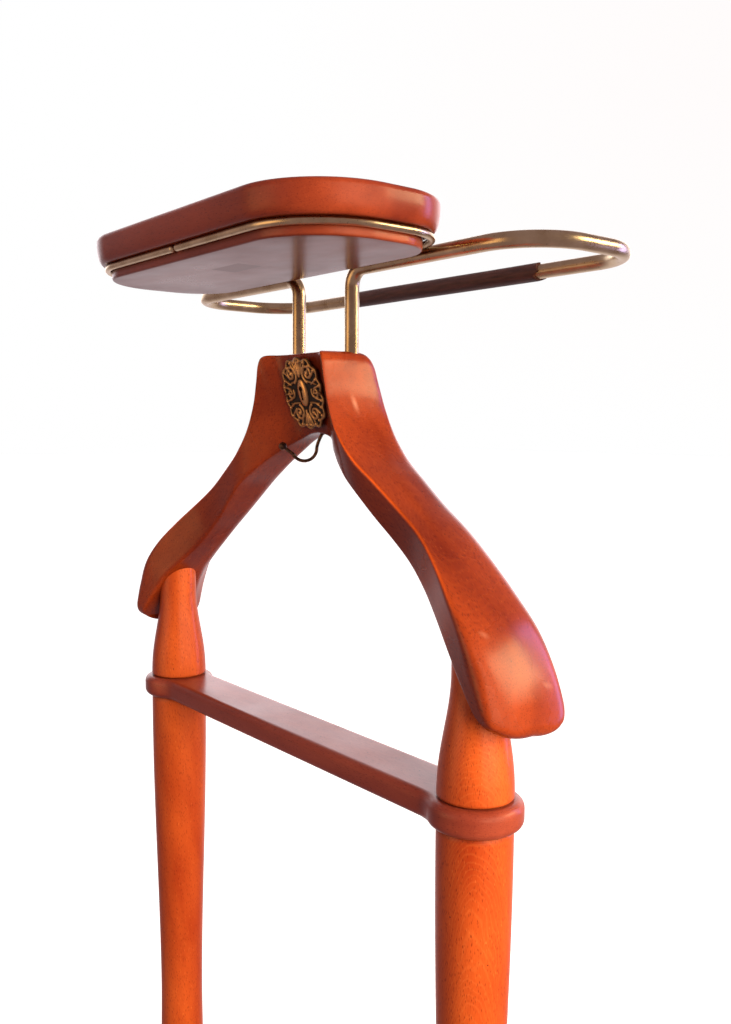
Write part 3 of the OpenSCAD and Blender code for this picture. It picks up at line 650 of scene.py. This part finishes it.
def knot_at(p):
    """Dark curved streaks round a small knot beside the scooped neck."""
    gap = p - Vector(KNOT)
    r = math.hypot(gap.y, 0.6 * gap.z)
    streaks = 0.5 + 0.5 * math.cos(r * 2.6)
    return 0.55 * streaks * math.exp(-(r / 4.0) ** 2 - (gap.x / 12.0) ** 2)


def ridge_highlight_values(ridge, width, low_z, high_z):
    """Painted highlight value, partly edge wear, along a line of points, strongest in the middle of its
    height range.
    """
    line = np.array([tuple(p) for p in ridge])

    def ridge_highlight_at(p):
        gap = np.linalg.norm(line - np.array(p), axis=1).min()
        along = max(0.0, min(1.0, (p.z - low_z) / 25.0, (high_z - p.z) / 25.0))
        return along * math.exp(-(gap / width) ** 2)
    return ridge_highlight_at


def make_arm(name, side, material):
    last = len(ARM_SECTIONS) - 1
    steps = last * 7
    rings = [arm_ring(last * k / steps, 1.0, 0.0, side) for k in range(steps + 1)]
    for k in range(1, 15):
        t = math.pi / 2 * k / 14.2
        rings.append(arm_ring(last, math.cos(t), TIP_REACH * math.sin(t), side))
    mesh = build_mesh(name, *skin(rings))
    add_grain(mesh, (side * 0.80, 0.0, -0.60), (31.0, 17.0 * side, 0.0))
    add_values(mesh, "scuff", scuff_at)
    add_values(mesh, "knot_and_joint_shade", knot_at)
    corners = [ring[RIDGE_POINT] for ring in rings]
    ridge = [corners[k // 3].lerp(corners[k // 3 + 1], k % 3 / 3) for k in range(3 * steps)]
    # painted highlight along the arm's front-upper ridge, partly edge wear
    add_values(mesh, "ridge_highlight_and_wear", ridge_highlight_values(ridge, 0.9, *RIDGE_HIGHLIGHT_FROM_TO_Z))
    place_piece(name, mesh, material, "stand", "wood_red", name)


# ---------- posts, spindles and shelf ----------

POST_D = 45.5
WAIST_D = 35.6
WAIST_Z = 458.0
SPINDLE_TOP_D = 30.0
SPINDLE_NECK_Z = 812.0
SHELF_W = 43.0
SHELF_FILLET = 30.0
# Slope of the growth rings against the axis of a turned piece
RING_TILT = 0.12

# Distance from the axis of a turned piece to the middle of its growth rings, mm
POST_RINGS_AWAY = 130.0
SPINDLE_RINGS_AWAY = 150.0


def lower_post_r(z, top):
    t = (z - WAIST_Z) / (top - WAIST_Z)
    up = 0.5 - 0.5 * math.cos(math.pi * min(1.0, abs(t) * 1.04))
    foot_taper = (190.0 - z) ** 2 * 0.00026 if z < 190.0 else 0.0
    return WAIST_D / 2 + (POST_D - WAIST_D) / 2 * up ** 0.86 - foot_taper


def spindle_r(z, base):
    t = min(1.0, (z - base) / (SPINDLE_NECK_Z - base))
    return SPINDLE_TOP_D / 2 + (POST_D - SPINDLE_TOP_D) / 2 * (0.5 + 0.5 * math.cos(math.pi * t ** 1.12))


def near_joint(heights, width):
    """Painted shade value that darkens towards the given heights, where parts meet."""
    return lambda p: max(math.exp(-((p.z - z) / width) ** 2) for z in heights)


def turned_grain(cx, cy, away):
    """Grain direction and shift of a turned piece whose growth rings run out at its outer front side."""
    side = 1 if cx > 0 else -1
    way = Vector((0.62 * side, -0.78, 0.0))
    shift = way * away - Vector((cx, cy, 0.0))
    return way * RING_TILT + Vector((0, 0, 1)), shift


def make_lower_post(name, material):
    low, high = box_mm(name)
    cx, cy = (low.x + high.x) / 2, (low.y + high.y) / 2
    bottom, top = box_mm("foot_left")[1].z, high.z
    heights = [bottom + (top - bottom) * k / 150 for k in range(151)]
    profile = [(lower_post_r(z, top), z) for z in heights[:-1]]
    profile += [(lower_post_r(top, top) - 0.1, top - 1.4), (lower_post_r(top, top) - 1.2, top)]
    mesh = build_mesh(name, *skin(lathe(cx, cy, profile, 128)))
    add_grain(mesh, *turned_grain(cx, cy, POST_RINGS_AWAY))
    # painted shade towards the joints at the post's top and foot
    add_values(mesh, "knot_and_joint_shade", near_joint([top, bottom], 1.3))
    place_piece(name, mesh, material, "stand", "wood_red", name)


def make_spindle(name, material):
    low, high = box_mm(name)
    cx, cy = (low.x + high.x) / 2, (low.y + high.y) / 2
    heights = [low.z + 1.4 + (high.z - low.z - 1.4) * k / 90 for k in range(91)]
    start = spindle_r(low.z, low.z)
    profile = [(start - 1.2, low.z), (start - 0.1, low.z + 1.2)]
    profile += [(spindle_r(z, low.z), z) for z in heights]
    mesh = build_mesh(name, *skin(lathe(cx, cy, profile, 128)))
    add_grain(mesh, *turned_grain(cx, cy, SPINDLE_RINGS_AWAY))
    # painted shade towards the joint at the spindle's foot
    add_values(mesh, "knot_and_joint_shade", near_joint([low.z], 1.3))
    place_piece(name, mesh, material, "stand", "wood_red", name)


def shelf_outline(post_x, disc_r, half_w, fillet):
    """Stadium outline with a round disc at each end and hollow fillets beside it, anticlockwise."""
    centre_y = half_w + fillet
    reach = math.sqrt((disc_r + fillet) ** 2 - centre_y ** 2)
    meet = math.degrees(math.atan2(centre_y, reach))
    right = arc(post_x - reach, -centre_y, fillet, 90, meet, 16)
    right += arc(post_x, 0, disc_r, meet - 180, 180 - meet, 90)
    right += arc(post_x - reach, centre_y, fillet, -meet, -90, 16)
    left = [(-x, -y) for x, y in right]
    return spread([Vector(p) for p in right + left], 8.0)


def make_shelf(name, material):
    low, high = box_mm(name)
    post_x = (high.x - low.x) / 2 - (high.y - low.y) / 2
    outline = shelf_outline(post_x, (high.y - low.y) / 2, SHELF_W / 2, SHELF_FILLET)
    middle, half = (low.z + high.z) / 2, (high.z - low.z) / 2
    profile = [(d, z + middle) for d, z in round_edges(half, 5.2, 8)]
    rings = folded(moulded(outline, inset_ends(profile)), lambda p: (p[0], 0.0, p[2]))
    mesh = build_mesh(name, *skin(rings, caps=False), sharp=30.0)
    add_grain(mesh, (1.0, 0.01, 0.0), (13.0, 40.0, 0.0))
    place_piece(name, mesh, material, "stand", "wood_dark", name)


# ---------- base ----------

FOOT_END_H = 27.0
FOOT_ARCH_H = 13.0
FOOT_ARCH_HALF = 122.0
FOOT_SEAT = 26.0


def foot_top(y, length, top):
    t = max(0.0, abs(y) - FOOT_SEAT) / (length / 2 - 18 - FOOT_SEAT)
    return FOOT_END_H + (top - FOOT_END_H) * (0.5 + 0.5 * math.cos(math.pi * min(1.0, t))) ** 1.3


def foot_bottom(y, base):
    inside = abs(y) < FOOT_ARCH_HALF
    return base + (FOOT_ARCH_H * (0.5 + 0.5 * math.cos(math.pi * y / FOOT_ARCH_HALF)) if inside else 0.0)


def foot_outline(length, base, top):
    """Side view of a foot as (y, z) pairs, anticlockwise."""
    nose = (FOOT_END_H - base) / 2
    end_y = length / 2 - nose
    ys = [-end_y + 2 * end_y * k / 90 for k in range(91)]
    lower = [(y, foot_bottom(y, base)) for y in ys]
    upper = [(y, foot_top(y, length, top)) for y in reversed(ys)]
    front = arc(end_y, base + nose, nose, -90, 90, 14)[1:-1]
    back = arc(-end_y, base + nose, nose, 90, 270, 14)[1:-1]
    return lower + front + upper + back


def make_foot(name, material):
    low, high = box_mm(name)
    outline = foot_outline(high.y - low.y, low.z, high.z)
    half, cx = (high.x - low.x) / 2, (low.x + high.x) / 2
    rings = moulded(outline, inset_ends(round_edges(half, 5.0, 8)))

    def spine(p):
        return p[0], (foot_top(p[0], high.y - low.y, high.z) + foot_bottom(p[0], low.z)) / 2, p[2]
    turned = [[(cx + z, y, x) for y, x, z in ring] for ring in folded(rings, spine)]
    mesh = build_mesh(name, *skin(turned, caps=False), sharp=30.0)
    add_grain(mesh, (0.0, 1.0, 0.03), (20.0 + cx * 0.1, 33.0, 0.0))
    place_piece(name, mesh, material, "stand", "wood_red", name)


def make_stretcher(name, material):
    low, high = box_mm(name)
    middle = (low + high) / 2
    half_y, half_z, r = (high.y - low.y) / 2, (high.z - low.z) / 2, 5.0
    outline = []
    for sy, sz, a0 in ((1, 1, 0), (-1, 1, 90), (-1, -1, 180), (1, -1, 270)):
        outline += arc(sy * (half_y - r), sz * (half_z - r), r, a0, a0 + 90, 8)
    count = 60
    rings = [[(low.x + (high.x - low.x) * k / count, middle.y + y, middle.z + z) for y, z in outline]
             for k in range(count + 1)]
    mesh = build_mesh(name, *skin(rings))
    add_grain(mesh, (1.0, 0.0, 0.02), (5.0, 60.0, 0.0))
    # painted shade towards the ends, where the stretcher meets the feet
    add_values(mesh, "knot_and_joint_shade", lambda p: math.exp(-((abs(p.x) - high.x) / 1.2) ** 2))
    place_piece(name, mesh, material, "stand", "wood_red", name)


# ---------- tray ----------

TRAY_FRONT_R = 49.0
TRAY_BACK_R = 36.0
RIM_W = 9.0
DISH_DEPTH = 8.0
SLAB_TUCK = 5.2
SLAB_ROUND = 4.2


def tray_outline(low, high, front_r, back_r):
    """Rounded outline with larger corners at the front, anticlockwise from the right side."""
    points = arc(high.x - back_r, high.y - back_r, back_r, 0, 90, 40)
    points += arc(low.x + back_r, high.y - back_r, back_r, 90, 180, 40)
    points += arc(low.x + front_r, low.y + front_r, front_r, 180, 270, 50)
    points += arc(high.x - front_r, low.y + front_r, front_r, 270, 360, 50)
    return spread([Vector(p) for p in points], 10.0)


def slab_profile(over, bottom, height):
    wide_z = height - 6.0
    quarter = [math.pi / 2 * k / 14 for k in range(15)]
    side = [(over - SLAB_TUCK * (1 - math.sin(t)), bottom + wide_z * (1 - math.cos(t))) for t in quarter]
    lip = [(side[0][0] - 0.9, side[0][1]), (side[0][0] - 0.25, side[0][1] + 0.25)]
    top = [(over - SLAB_ROUND * (1 - math.cos(t)), bottom + wide_z + 1.8 + SLAB_ROUND * math.sin(t))
           for t in quarter]
    wall = over - RIM_W
    edge = [(wall + 1.5, bottom + height), (wall + 0.6, bottom + height - 0.4)]
    dish = [(wall - 6 * (1 - math.sin(t)), bottom + height - DISH_DEPTH + 6 * (1 - math.cos(t)))
            for t in reversed(quarter)]
    floor_z, floor_d = dish[-1][1], dish[-1][0]
    inner = [(floor_d - 0.6, floor_z), (floor_d - 6.0, floor_z)]
    return [(-4.0, bottom), (lip[0][0] - 0.6, bottom)] + lip + side[1:] + top + edge + dish + inner


def make_tray_slab(name, material):
    low, high = box_mm(name)
    board_low, board_high = box_mm("tray_base_board")
    over = high.x - board_high.x
    outline = tray_outline(board_low, board_high, TRAY_FRONT_R, TRAY_BACK_R)
    rings = moulded(outline, slab_profile(over, low.z, high.z - low.z))
    mesh = build_mesh(name, *skin(rings), sharp=35.0)
    add_grain(mesh, (1.0, 0.03, 0.0), (60.0, 22.0, 0.0))
    place_piece(name, mesh, material, "tray", "wood_dark", name)


def make_tray_board(name, material):
    low, high = box_mm(name)
    outline = tray_outline(low, high, TRAY_FRONT_R, TRAY_BACK_R)
    half = (high.z - low.z) / 2
    rim = round_edges(half, 1.6, 6)
    middle = (low.z + high.z) / 2
    inset = [(-18.0, low.z), (-8.0, low.z)]
    profile = inset + [(d, z + middle) for d, z in rim]
    mesh = build_mesh(name, *skin(moulded(outline, profile)), sharp=35.0)
    add_grain(mesh, (1.0, -0.02, 0.0), (80.0, 5.0, 0.0))
    place_piece(name, mesh, material, "tray", "wood_dark", name)


# ---------- wire, tube and sleeve ----------

TUBE_R = 5.0
UPRIGHT_X = 31.6
UPRIGHT_BEND = 12.0
LOOP_BEND = 40.0
RING_GAP = 3.0
RING_CLEAR = 0.35


def half_bar_path(low, high):
    """Right half of the trouser bar, from the foot of its upright to the middle of the back leg."""
    front, back, level = low.y + TUBE_R, high.y - TUBE_R, high.z - TUBE_R
    end = high.x - TUBE_R
    path = [(UPRIGHT_X, front, low.z + (level - UPRIGHT_BEND - low.z) * k / 12) for k in range(12)]
    path += [(x, front, z) for x, z in arc(UPRIGHT_X + UPRIGHT_BEND, level - UPRIGHT_BEND, UPRIGHT_BEND,
                                           180, 90, 14)]
    path += [(x, y, level) for x, y in arc(end - LOOP_BEND, front + LOOP_BEND, LOOP_BEND, -90, 0, 24)]
    path += [(x, y, level) for x, y in arc(end - LOOP_BEND, back - LOOP_BEND, LOOP_BEND, 0, 90, 24)]
    return path


def make_trouser_bar(name, material):
    low, high = box_mm(name)
    right = half_bar_path(low, high)
    left = [(-x, y, z) for x, y, z in right]
    path = right + list(reversed(left))
    mesh = build_mesh(name, *skin(sweep(path, lambda d: TUBE_R, 40)))
    place_piece(name, mesh, material, "stand", "tube_metal", name)


def rounded_end(r, length, cut):
    """Radius along a wire of this length whose ends are rounded over the last cut millimetres."""
    def radius(d):
        gap = min(d, length - d)
        return r if gap >= cut else r * math.sqrt(max(0.02, 1 - (1 - gap / cut) ** 2))
    return radius


def make_tray_ring(name, material):
    low, high = box_mm(name)
    r = (high.z - low.z) / 2
    level = (low.z + high.z) / 2
    front_r, back_r = TRAY_FRONT_R + RING_CLEAR + r, TRAY_BACK_R + RING_CLEAR + r
    side, front, back = high.x - r, low.y + r, high.y - r
    half = [(RING_GAP / 2 + k * 0.4, front) for k in range(6)]
    half += arc(side - front_r, front + front_r, front_r, -90, 0, 30)
    half += arc(side - back_r, back - back_r, back_r, 0, 90, 26)
    path = [(x, y, level) for x, y in half] + [(-x, y, level) for x, y in reversed(half)]
    length = sum((Vector(b) - Vector(a)).length for a, b in zip(path, path[1:]))
    mesh = build_mesh(name, *skin(sweep(path, rounded_end(r, length, 1.6), 28)))
    place_piece(name, mesh, material, "stand", "tube_metal", name)


def make_sleeve(name, material):
    """Soft sleeve with lumps, a few lengthwise creases and worn, uneven ends."""
    low, high = box_mm(name)
    cy, cz, r = (low.y + high.y) / 2, (low.z + high.z) / 2, (high.z - low.z) / 2
    waves = [(random.uniform(0.02, 0.09), random.uniform(0, 6.3), random.randint(1, 4)) for _ in range(6)]
    sides, count = 48, 160

    def ring(share, radius):
        points = []
        for k in range(sides):
            t = 2 * math.pi * k / sides
            ragged = 1.6 * math.sin(2 * t + 0.7) + 1.1 * math.sin(5 * t) + 0.6 * math.sin(9 * t + 1)
            inset = 3.2 + ragged
            x = low.x + inset * (1 - share) ** 6 + (high.x - low.x - inset * share ** 6
                                                     - inset * (1 - share) ** 6) * share
            swell = sum(math.sin(x * f + p + t * n) for f, p, n in waves) / 6
            size = radius if radius < r - 0.7 else radius - 0.16 + 0.16 * swell
            points.append((x, cy + size * math.sin(t), cz + size * math.cos(t)))
        return points
    rings = [ring(0.0, TUBE_R + 0.05), ring(0.0, r - 0.25)]
    rings += [ring(k / count, r) for k in range(1, count)]
    rings += [ring(1.0, r - 0.25), ring(1.0, TUBE_R + 0.05)]
    mesh = build_mesh(name, *skin(rings))
    place_piece(name, mesh, material, "stand", "sleeve_rubber", name)


# ---------- escutcheon and hook ----------

PLATE_TILT = math.radians(105.5)
PLATE_MID = Vector((0.0, 5.3, 976.0))
PLATE_SIDE = 22.6
PLATE_TALL = 25.6


def plate_r(a):
    square = 2.7
    flat = abs(math.cos(a) / PLATE_SIDE) ** square + abs(math.sin(a) / PLATE_TALL) ** square
    return flat ** (-1 / square) * (0.975 + 0.04 * math.cos(14 * a - math.pi))


def spiral(cx, cy, r0, r1, a0, a1, w0, w1, rise):
    """Stroke of (x, y, half width, height) points that winds inwards."""
    steps = 60
    stroke = []
    for k in range(steps + 1):
        t = k / steps
        a, r = math.radians(a0 + (a1 - a0) * t), r0 + (r1 - r0) * t
        stroke.append((cx + r * math.cos(a), cy + r * math.sin(a), w0 + (w1 - w0) * t, rise))
    return stroke


def bar_stroke(ax, ay, bx, by, w0, w1, rise):
    steps = 24
    return [(ax + (bx - ax) * k / steps, ay + (by - ay) * k / steps,
             (w0 + (w1 - w0) * k / steps) * (0.55 + 0.45 * math.sin(math.pi * k / steps)), rise)
            for k in range(steps + 1)]


def relief_strokes():
    """Scrolls, leaves and beads of the plate, right half mirrored to the left."""
    half = []
    half += spiral(9.6, 14.2, 6.4, 1.0, 250, -290, 1.5, 1.0, 1.5)
    half += [(9.6, 14.2, 1.5, 2.0)]
    half += spiral(9.0, -13.6, 5.8, 1.0, 110, 640, 1.4, 0.95, 1.4)
    half += [(9.0, -13.6, 1.4, 1.9)]
    half += spiral(14.6, 0.4, 4.2, 1.2, 150, 560, 1.25, 0.9, 1.3)
    half += bar_stroke(6.4, 9.0, 17.5, 6.0, 1.3, 0.8, 1.1)
    half += bar_stroke(6.2, -6.5, 17.0, -7.2, 1.3, 0.8, 1.1)
    half += bar_stroke(1.5, 14.0, 5.6, 22.6, 1.5, 1.0, 1.4)
    half += bar_stroke(1.2, -14.5, 4.6, -22.4, 1.4, 0.9, 1.3)
    for k in range(13):
        a = math.radians(-84 + 14 * k)
        r = plate_r(a)
        half.append((0.9 * r * math.cos(a), 0.9 * r * math.sin(a), 1.5, 2.1))
        half += bar_stroke(0.6 * r * math.cos(a), 0.6 * r * math.sin(a),
                           0.84 * r * math.cos(a), 0.84 * r * math.sin(a), 0.9, 1.2, 1.5)
    strokes = half + [(-x, y, w, h) for x, y, w, h in half]
    strokes += bar_stroke(0, 12.5, 0, 24.0, 2.0, 1.2, 1.9)
    strokes += bar_stroke(0, -12.0, 0, -23.5, 1.9, 1.0, 1.7)
    return np.array(strokes)


def relief_height(x, y, strokes, rim):
    """Height of the cast face above the plate."""
    gap = np.hypot(x[:, None] - strokes[:, 0], y[:, None] - strokes[:, 1]) / strokes[:, 2]
    domes = strokes[:, 3] * np.sqrt(np.clip(1 - gap ** 2, 0, 1))
    height = domes.max(axis=1)
    oval = (x / 5.6) ** 2 + ((y - 0.6) / 10.2) ** 2
    vase = 2.3 * np.sqrt(np.clip(1 - oval ** 2, 0, 1))
    band = 1.2 * np.sqrt(np.clip(1 - ((rim - 0.965) / 0.045) ** 2, 0, 1))
    height = np.maximum(np.maximum(height, vase), band)
    slot = (np.hypot(x, y - 3.6) < 1.9) | ((np.abs(x) < 0.95) & (y < 3.6) & (y > -4.4))
    height = np.where(slot, 0.1, height)
    return height


def make_escutcheon(name, material):
    around, across = 260, 84
    strokes = relief_strokes()
    angles = [2 * math.pi * k / around for k in range(around)]
    edge = np.array([(plate_r(a) * math.cos(a), plate_r(a) * math.sin(a)) for a in angles])
    up = Vector((0, math.cos(PLATE_TILT), math.sin(PLATE_TILT)))
    out = Vector((0, -math.sin(PLATE_TILT), math.cos(PLATE_TILT)))
    rings, high = [], []

    def ring(flat, depth, value):
        rings.append([PLATE_MID + Vector((q[0], 0, 0)) + up * q[1] + out * d for q, d in zip(flat, depth)])
        high.extend(value)
    ring(edge, [0.0] * around, [0.3] * around)
    for k in range(across + 1):
        share = 1.0 - k / (across + 0.6)
        flat = edge * share
        lift = relief_height(flat[:, 0], flat[:, 1], strokes, share)
        ring(flat, 0.55 + lift, np.clip(lift / 1.7, 0, 1))
    points, faces = skin(rings)
    mesh = bpy.data.meshes.new(name)
    mesh.from_pydata([(p[0] * MM, p[1] * MM, p[2] * MM) for p in points], [], faces)
    mesh.attributes.new("relief", "FLOAT", "POINT").data.foreach_set("value", [float(v) for v in high])
    mesh.shade_smooth()
    mesh.set_sharp_from_angle(angle=math.radians(70))
    place_piece(name, mesh, material, "stand", "antique_brass", name)


HOOK_AT = (-3.5, 18.5)
HOOK_TURN = math.radians(-120.0)
HOOK_WIRE_R = 1.2
HOOK_CUP_R = 9.0
HOOK_CUP_Z = 937.0
HOOK_TOP_Z = 951.0
HOOK_LEAN = 6.0
HOOK_TIP = (24.4, 938.5)
HOOK_BALL_R = 2.9


def make_hook(name, material):
    lean = [(k / 10, HOOK_TOP_Z + (HOOK_CUP_Z - HOOK_TOP_Z) * k / 10) for k in range(10)]
    flat = [(-HOOK_LEAN * (1 - t) ** 1.5, z) for t, z in lean]
    flat += arc(HOOK_CUP_R, HOOK_CUP_Z, HOOK_CUP_R, 180, 332, 36)
    flat += [HOOK_TIP]
    path = [(HOOK_AT[0] + x * math.cos(HOOK_TURN), HOOK_AT[1] + x * math.sin(HOOK_TURN), z)
            for x, z in flat]
    points, faces = skin(sweep(path, lambda d: HOOK_WIRE_R, 20))

    def add(rings):
        more, more_faces = skin(rings)
        start = len(points)
        points.extend(more)
        faces.extend(tuple(start + i for i in face) for face in more_faces)
    tip = path[-1]
    ball = [(HOOK_BALL_R * math.cos(t), tip[2] + HOOK_BALL_R * math.sin(t))
            for t in (math.radians(-89 + 178 * k / 24) for k in range(25))]
    add(lathe(tip[0], tip[1], ball, 32))
    mesh = build_mesh(name, points, faces)
    place_piece(name, mesh, material, "stand", "antique_brass", name)


# ---------- carried-over CAD pieces ----------

def finish_cad(name, material, bevel=0.0):
    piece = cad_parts[name]
    piece.data.materials.clear()
    piece.data.materials.append(material)
    if bevel:
        rounding = piece.modifiers.new("edge", "BEVEL")
        rounding.width = bevel
        rounding.segments = 3
        rounding.limit_method = "ANGLE"
        rounding.angle_limit = math.radians(50)


def make_floor():
    mesh = bpy.data.meshes.new("floor")
    side = 30.0
    mesh.from_pydata([(-side, -side, 0), (side, -side, 0), (side, side, 0), (-side, side, 0)], [],
                     [(0, 1, 2, 3)])
    floor = bpy.data.objects.new("floor", mesh)
    mesh.materials.append(pale_floor("floor_paint"))
    bpy.context.scene.collection.objects.link(floor)
    floor.visible_diffuse = False
    floor.visible_glossy = False


def make_object():
    red = wood("mahogany_beech", (0.30, 0.030, 0.004, 1), (0.53, 0.090, 0.014, 1),
               (0.72, 0.22, 0.05, 1), 0.34, 0.18, 0.1, 0.75)
    rich = wood("mahogany_beech_hanger", (0.13, 0.013, 0.003, 1), (0.29, 0.040, 0.007, 1),
                (0.48, 0.10, 0.022, 1), 0.21, 0.1, 0.06, 0.8)
    dark = wood("mahogany_beech_dark", (0.13, 0.016, 0.006, 1), (0.27, 0.042, 0.014, 1),
                (0.40, 0.085, 0.03, 1), 0.30, 0.06, 0.012, 0.6)
    # the shelf's colours are its stain made greyer and pinker: a painted reflection over the whole shelf
    shelf = wood("mahogany_beech_shelf_and_reflection", (0.18, 0.026, 0.014, 1), (0.33, 0.062, 0.030, 1),
                 (0.46, 0.13, 0.055, 1), 0.27, 0.15, 0.03, 0.6)
    tube = plated_metal("champagne_plating")
    make_arm("hanger_right", 1, rich)
    make_arm("hanger_left", -1, rich)
    for side in ("left", "right"):
        make_lower_post("lower_post_" + side, red)
        make_spindle("spindle_" + side, red)
        make_foot("foot_" + side, red)
    make_stretcher("low_stretcher", red)
    make_shelf("cross_shelf", shelf)
    make_tray_slab("tray_slab", dark)
    board = wood("mahogany_beech_board", (0.13, 0.02, 0.008, 1), (0.24, 0.045, 0.018, 1),
                 (0.34, 0.08, 0.03, 1), 0.27, 0.06, 0.006, 0.3)
    make_tray_board("tray_base_board", add_ghost(board, (0.0, -50.0, 0.0), (18.0, 10.0)))
    make_tray_ring("tray_ring", tube)
    make_trouser_bar("trouser_bar", tube)
    make_sleeve("bar_sleeve", soft_sleeve("brown_sleeve"))
    make_escutcheon("escutcheon_plate", cast_brass("antique_casting"))
    make_hook("cup_hook", dark_wire("dark_wire"))
    finish_cad("escutcheon_pins", dark_wire("pin_brass"))
    finish_cad("foot_glides", moulded_plastic("black_plastic"), 0.0006)
    finish_cad("post_screws", zinc_steel("zinc_plate"))
    beech = raw_beech("raw_beech")
    for name in ("stretcher_dowels", "post_dowels", "hanger_dowels"):
        finish_cad(name, beech)


make_camera()
make_lights()
make_world()
make_floor()
make_object()
bpy.context.scene.view_settings.view_transform = "Standard"
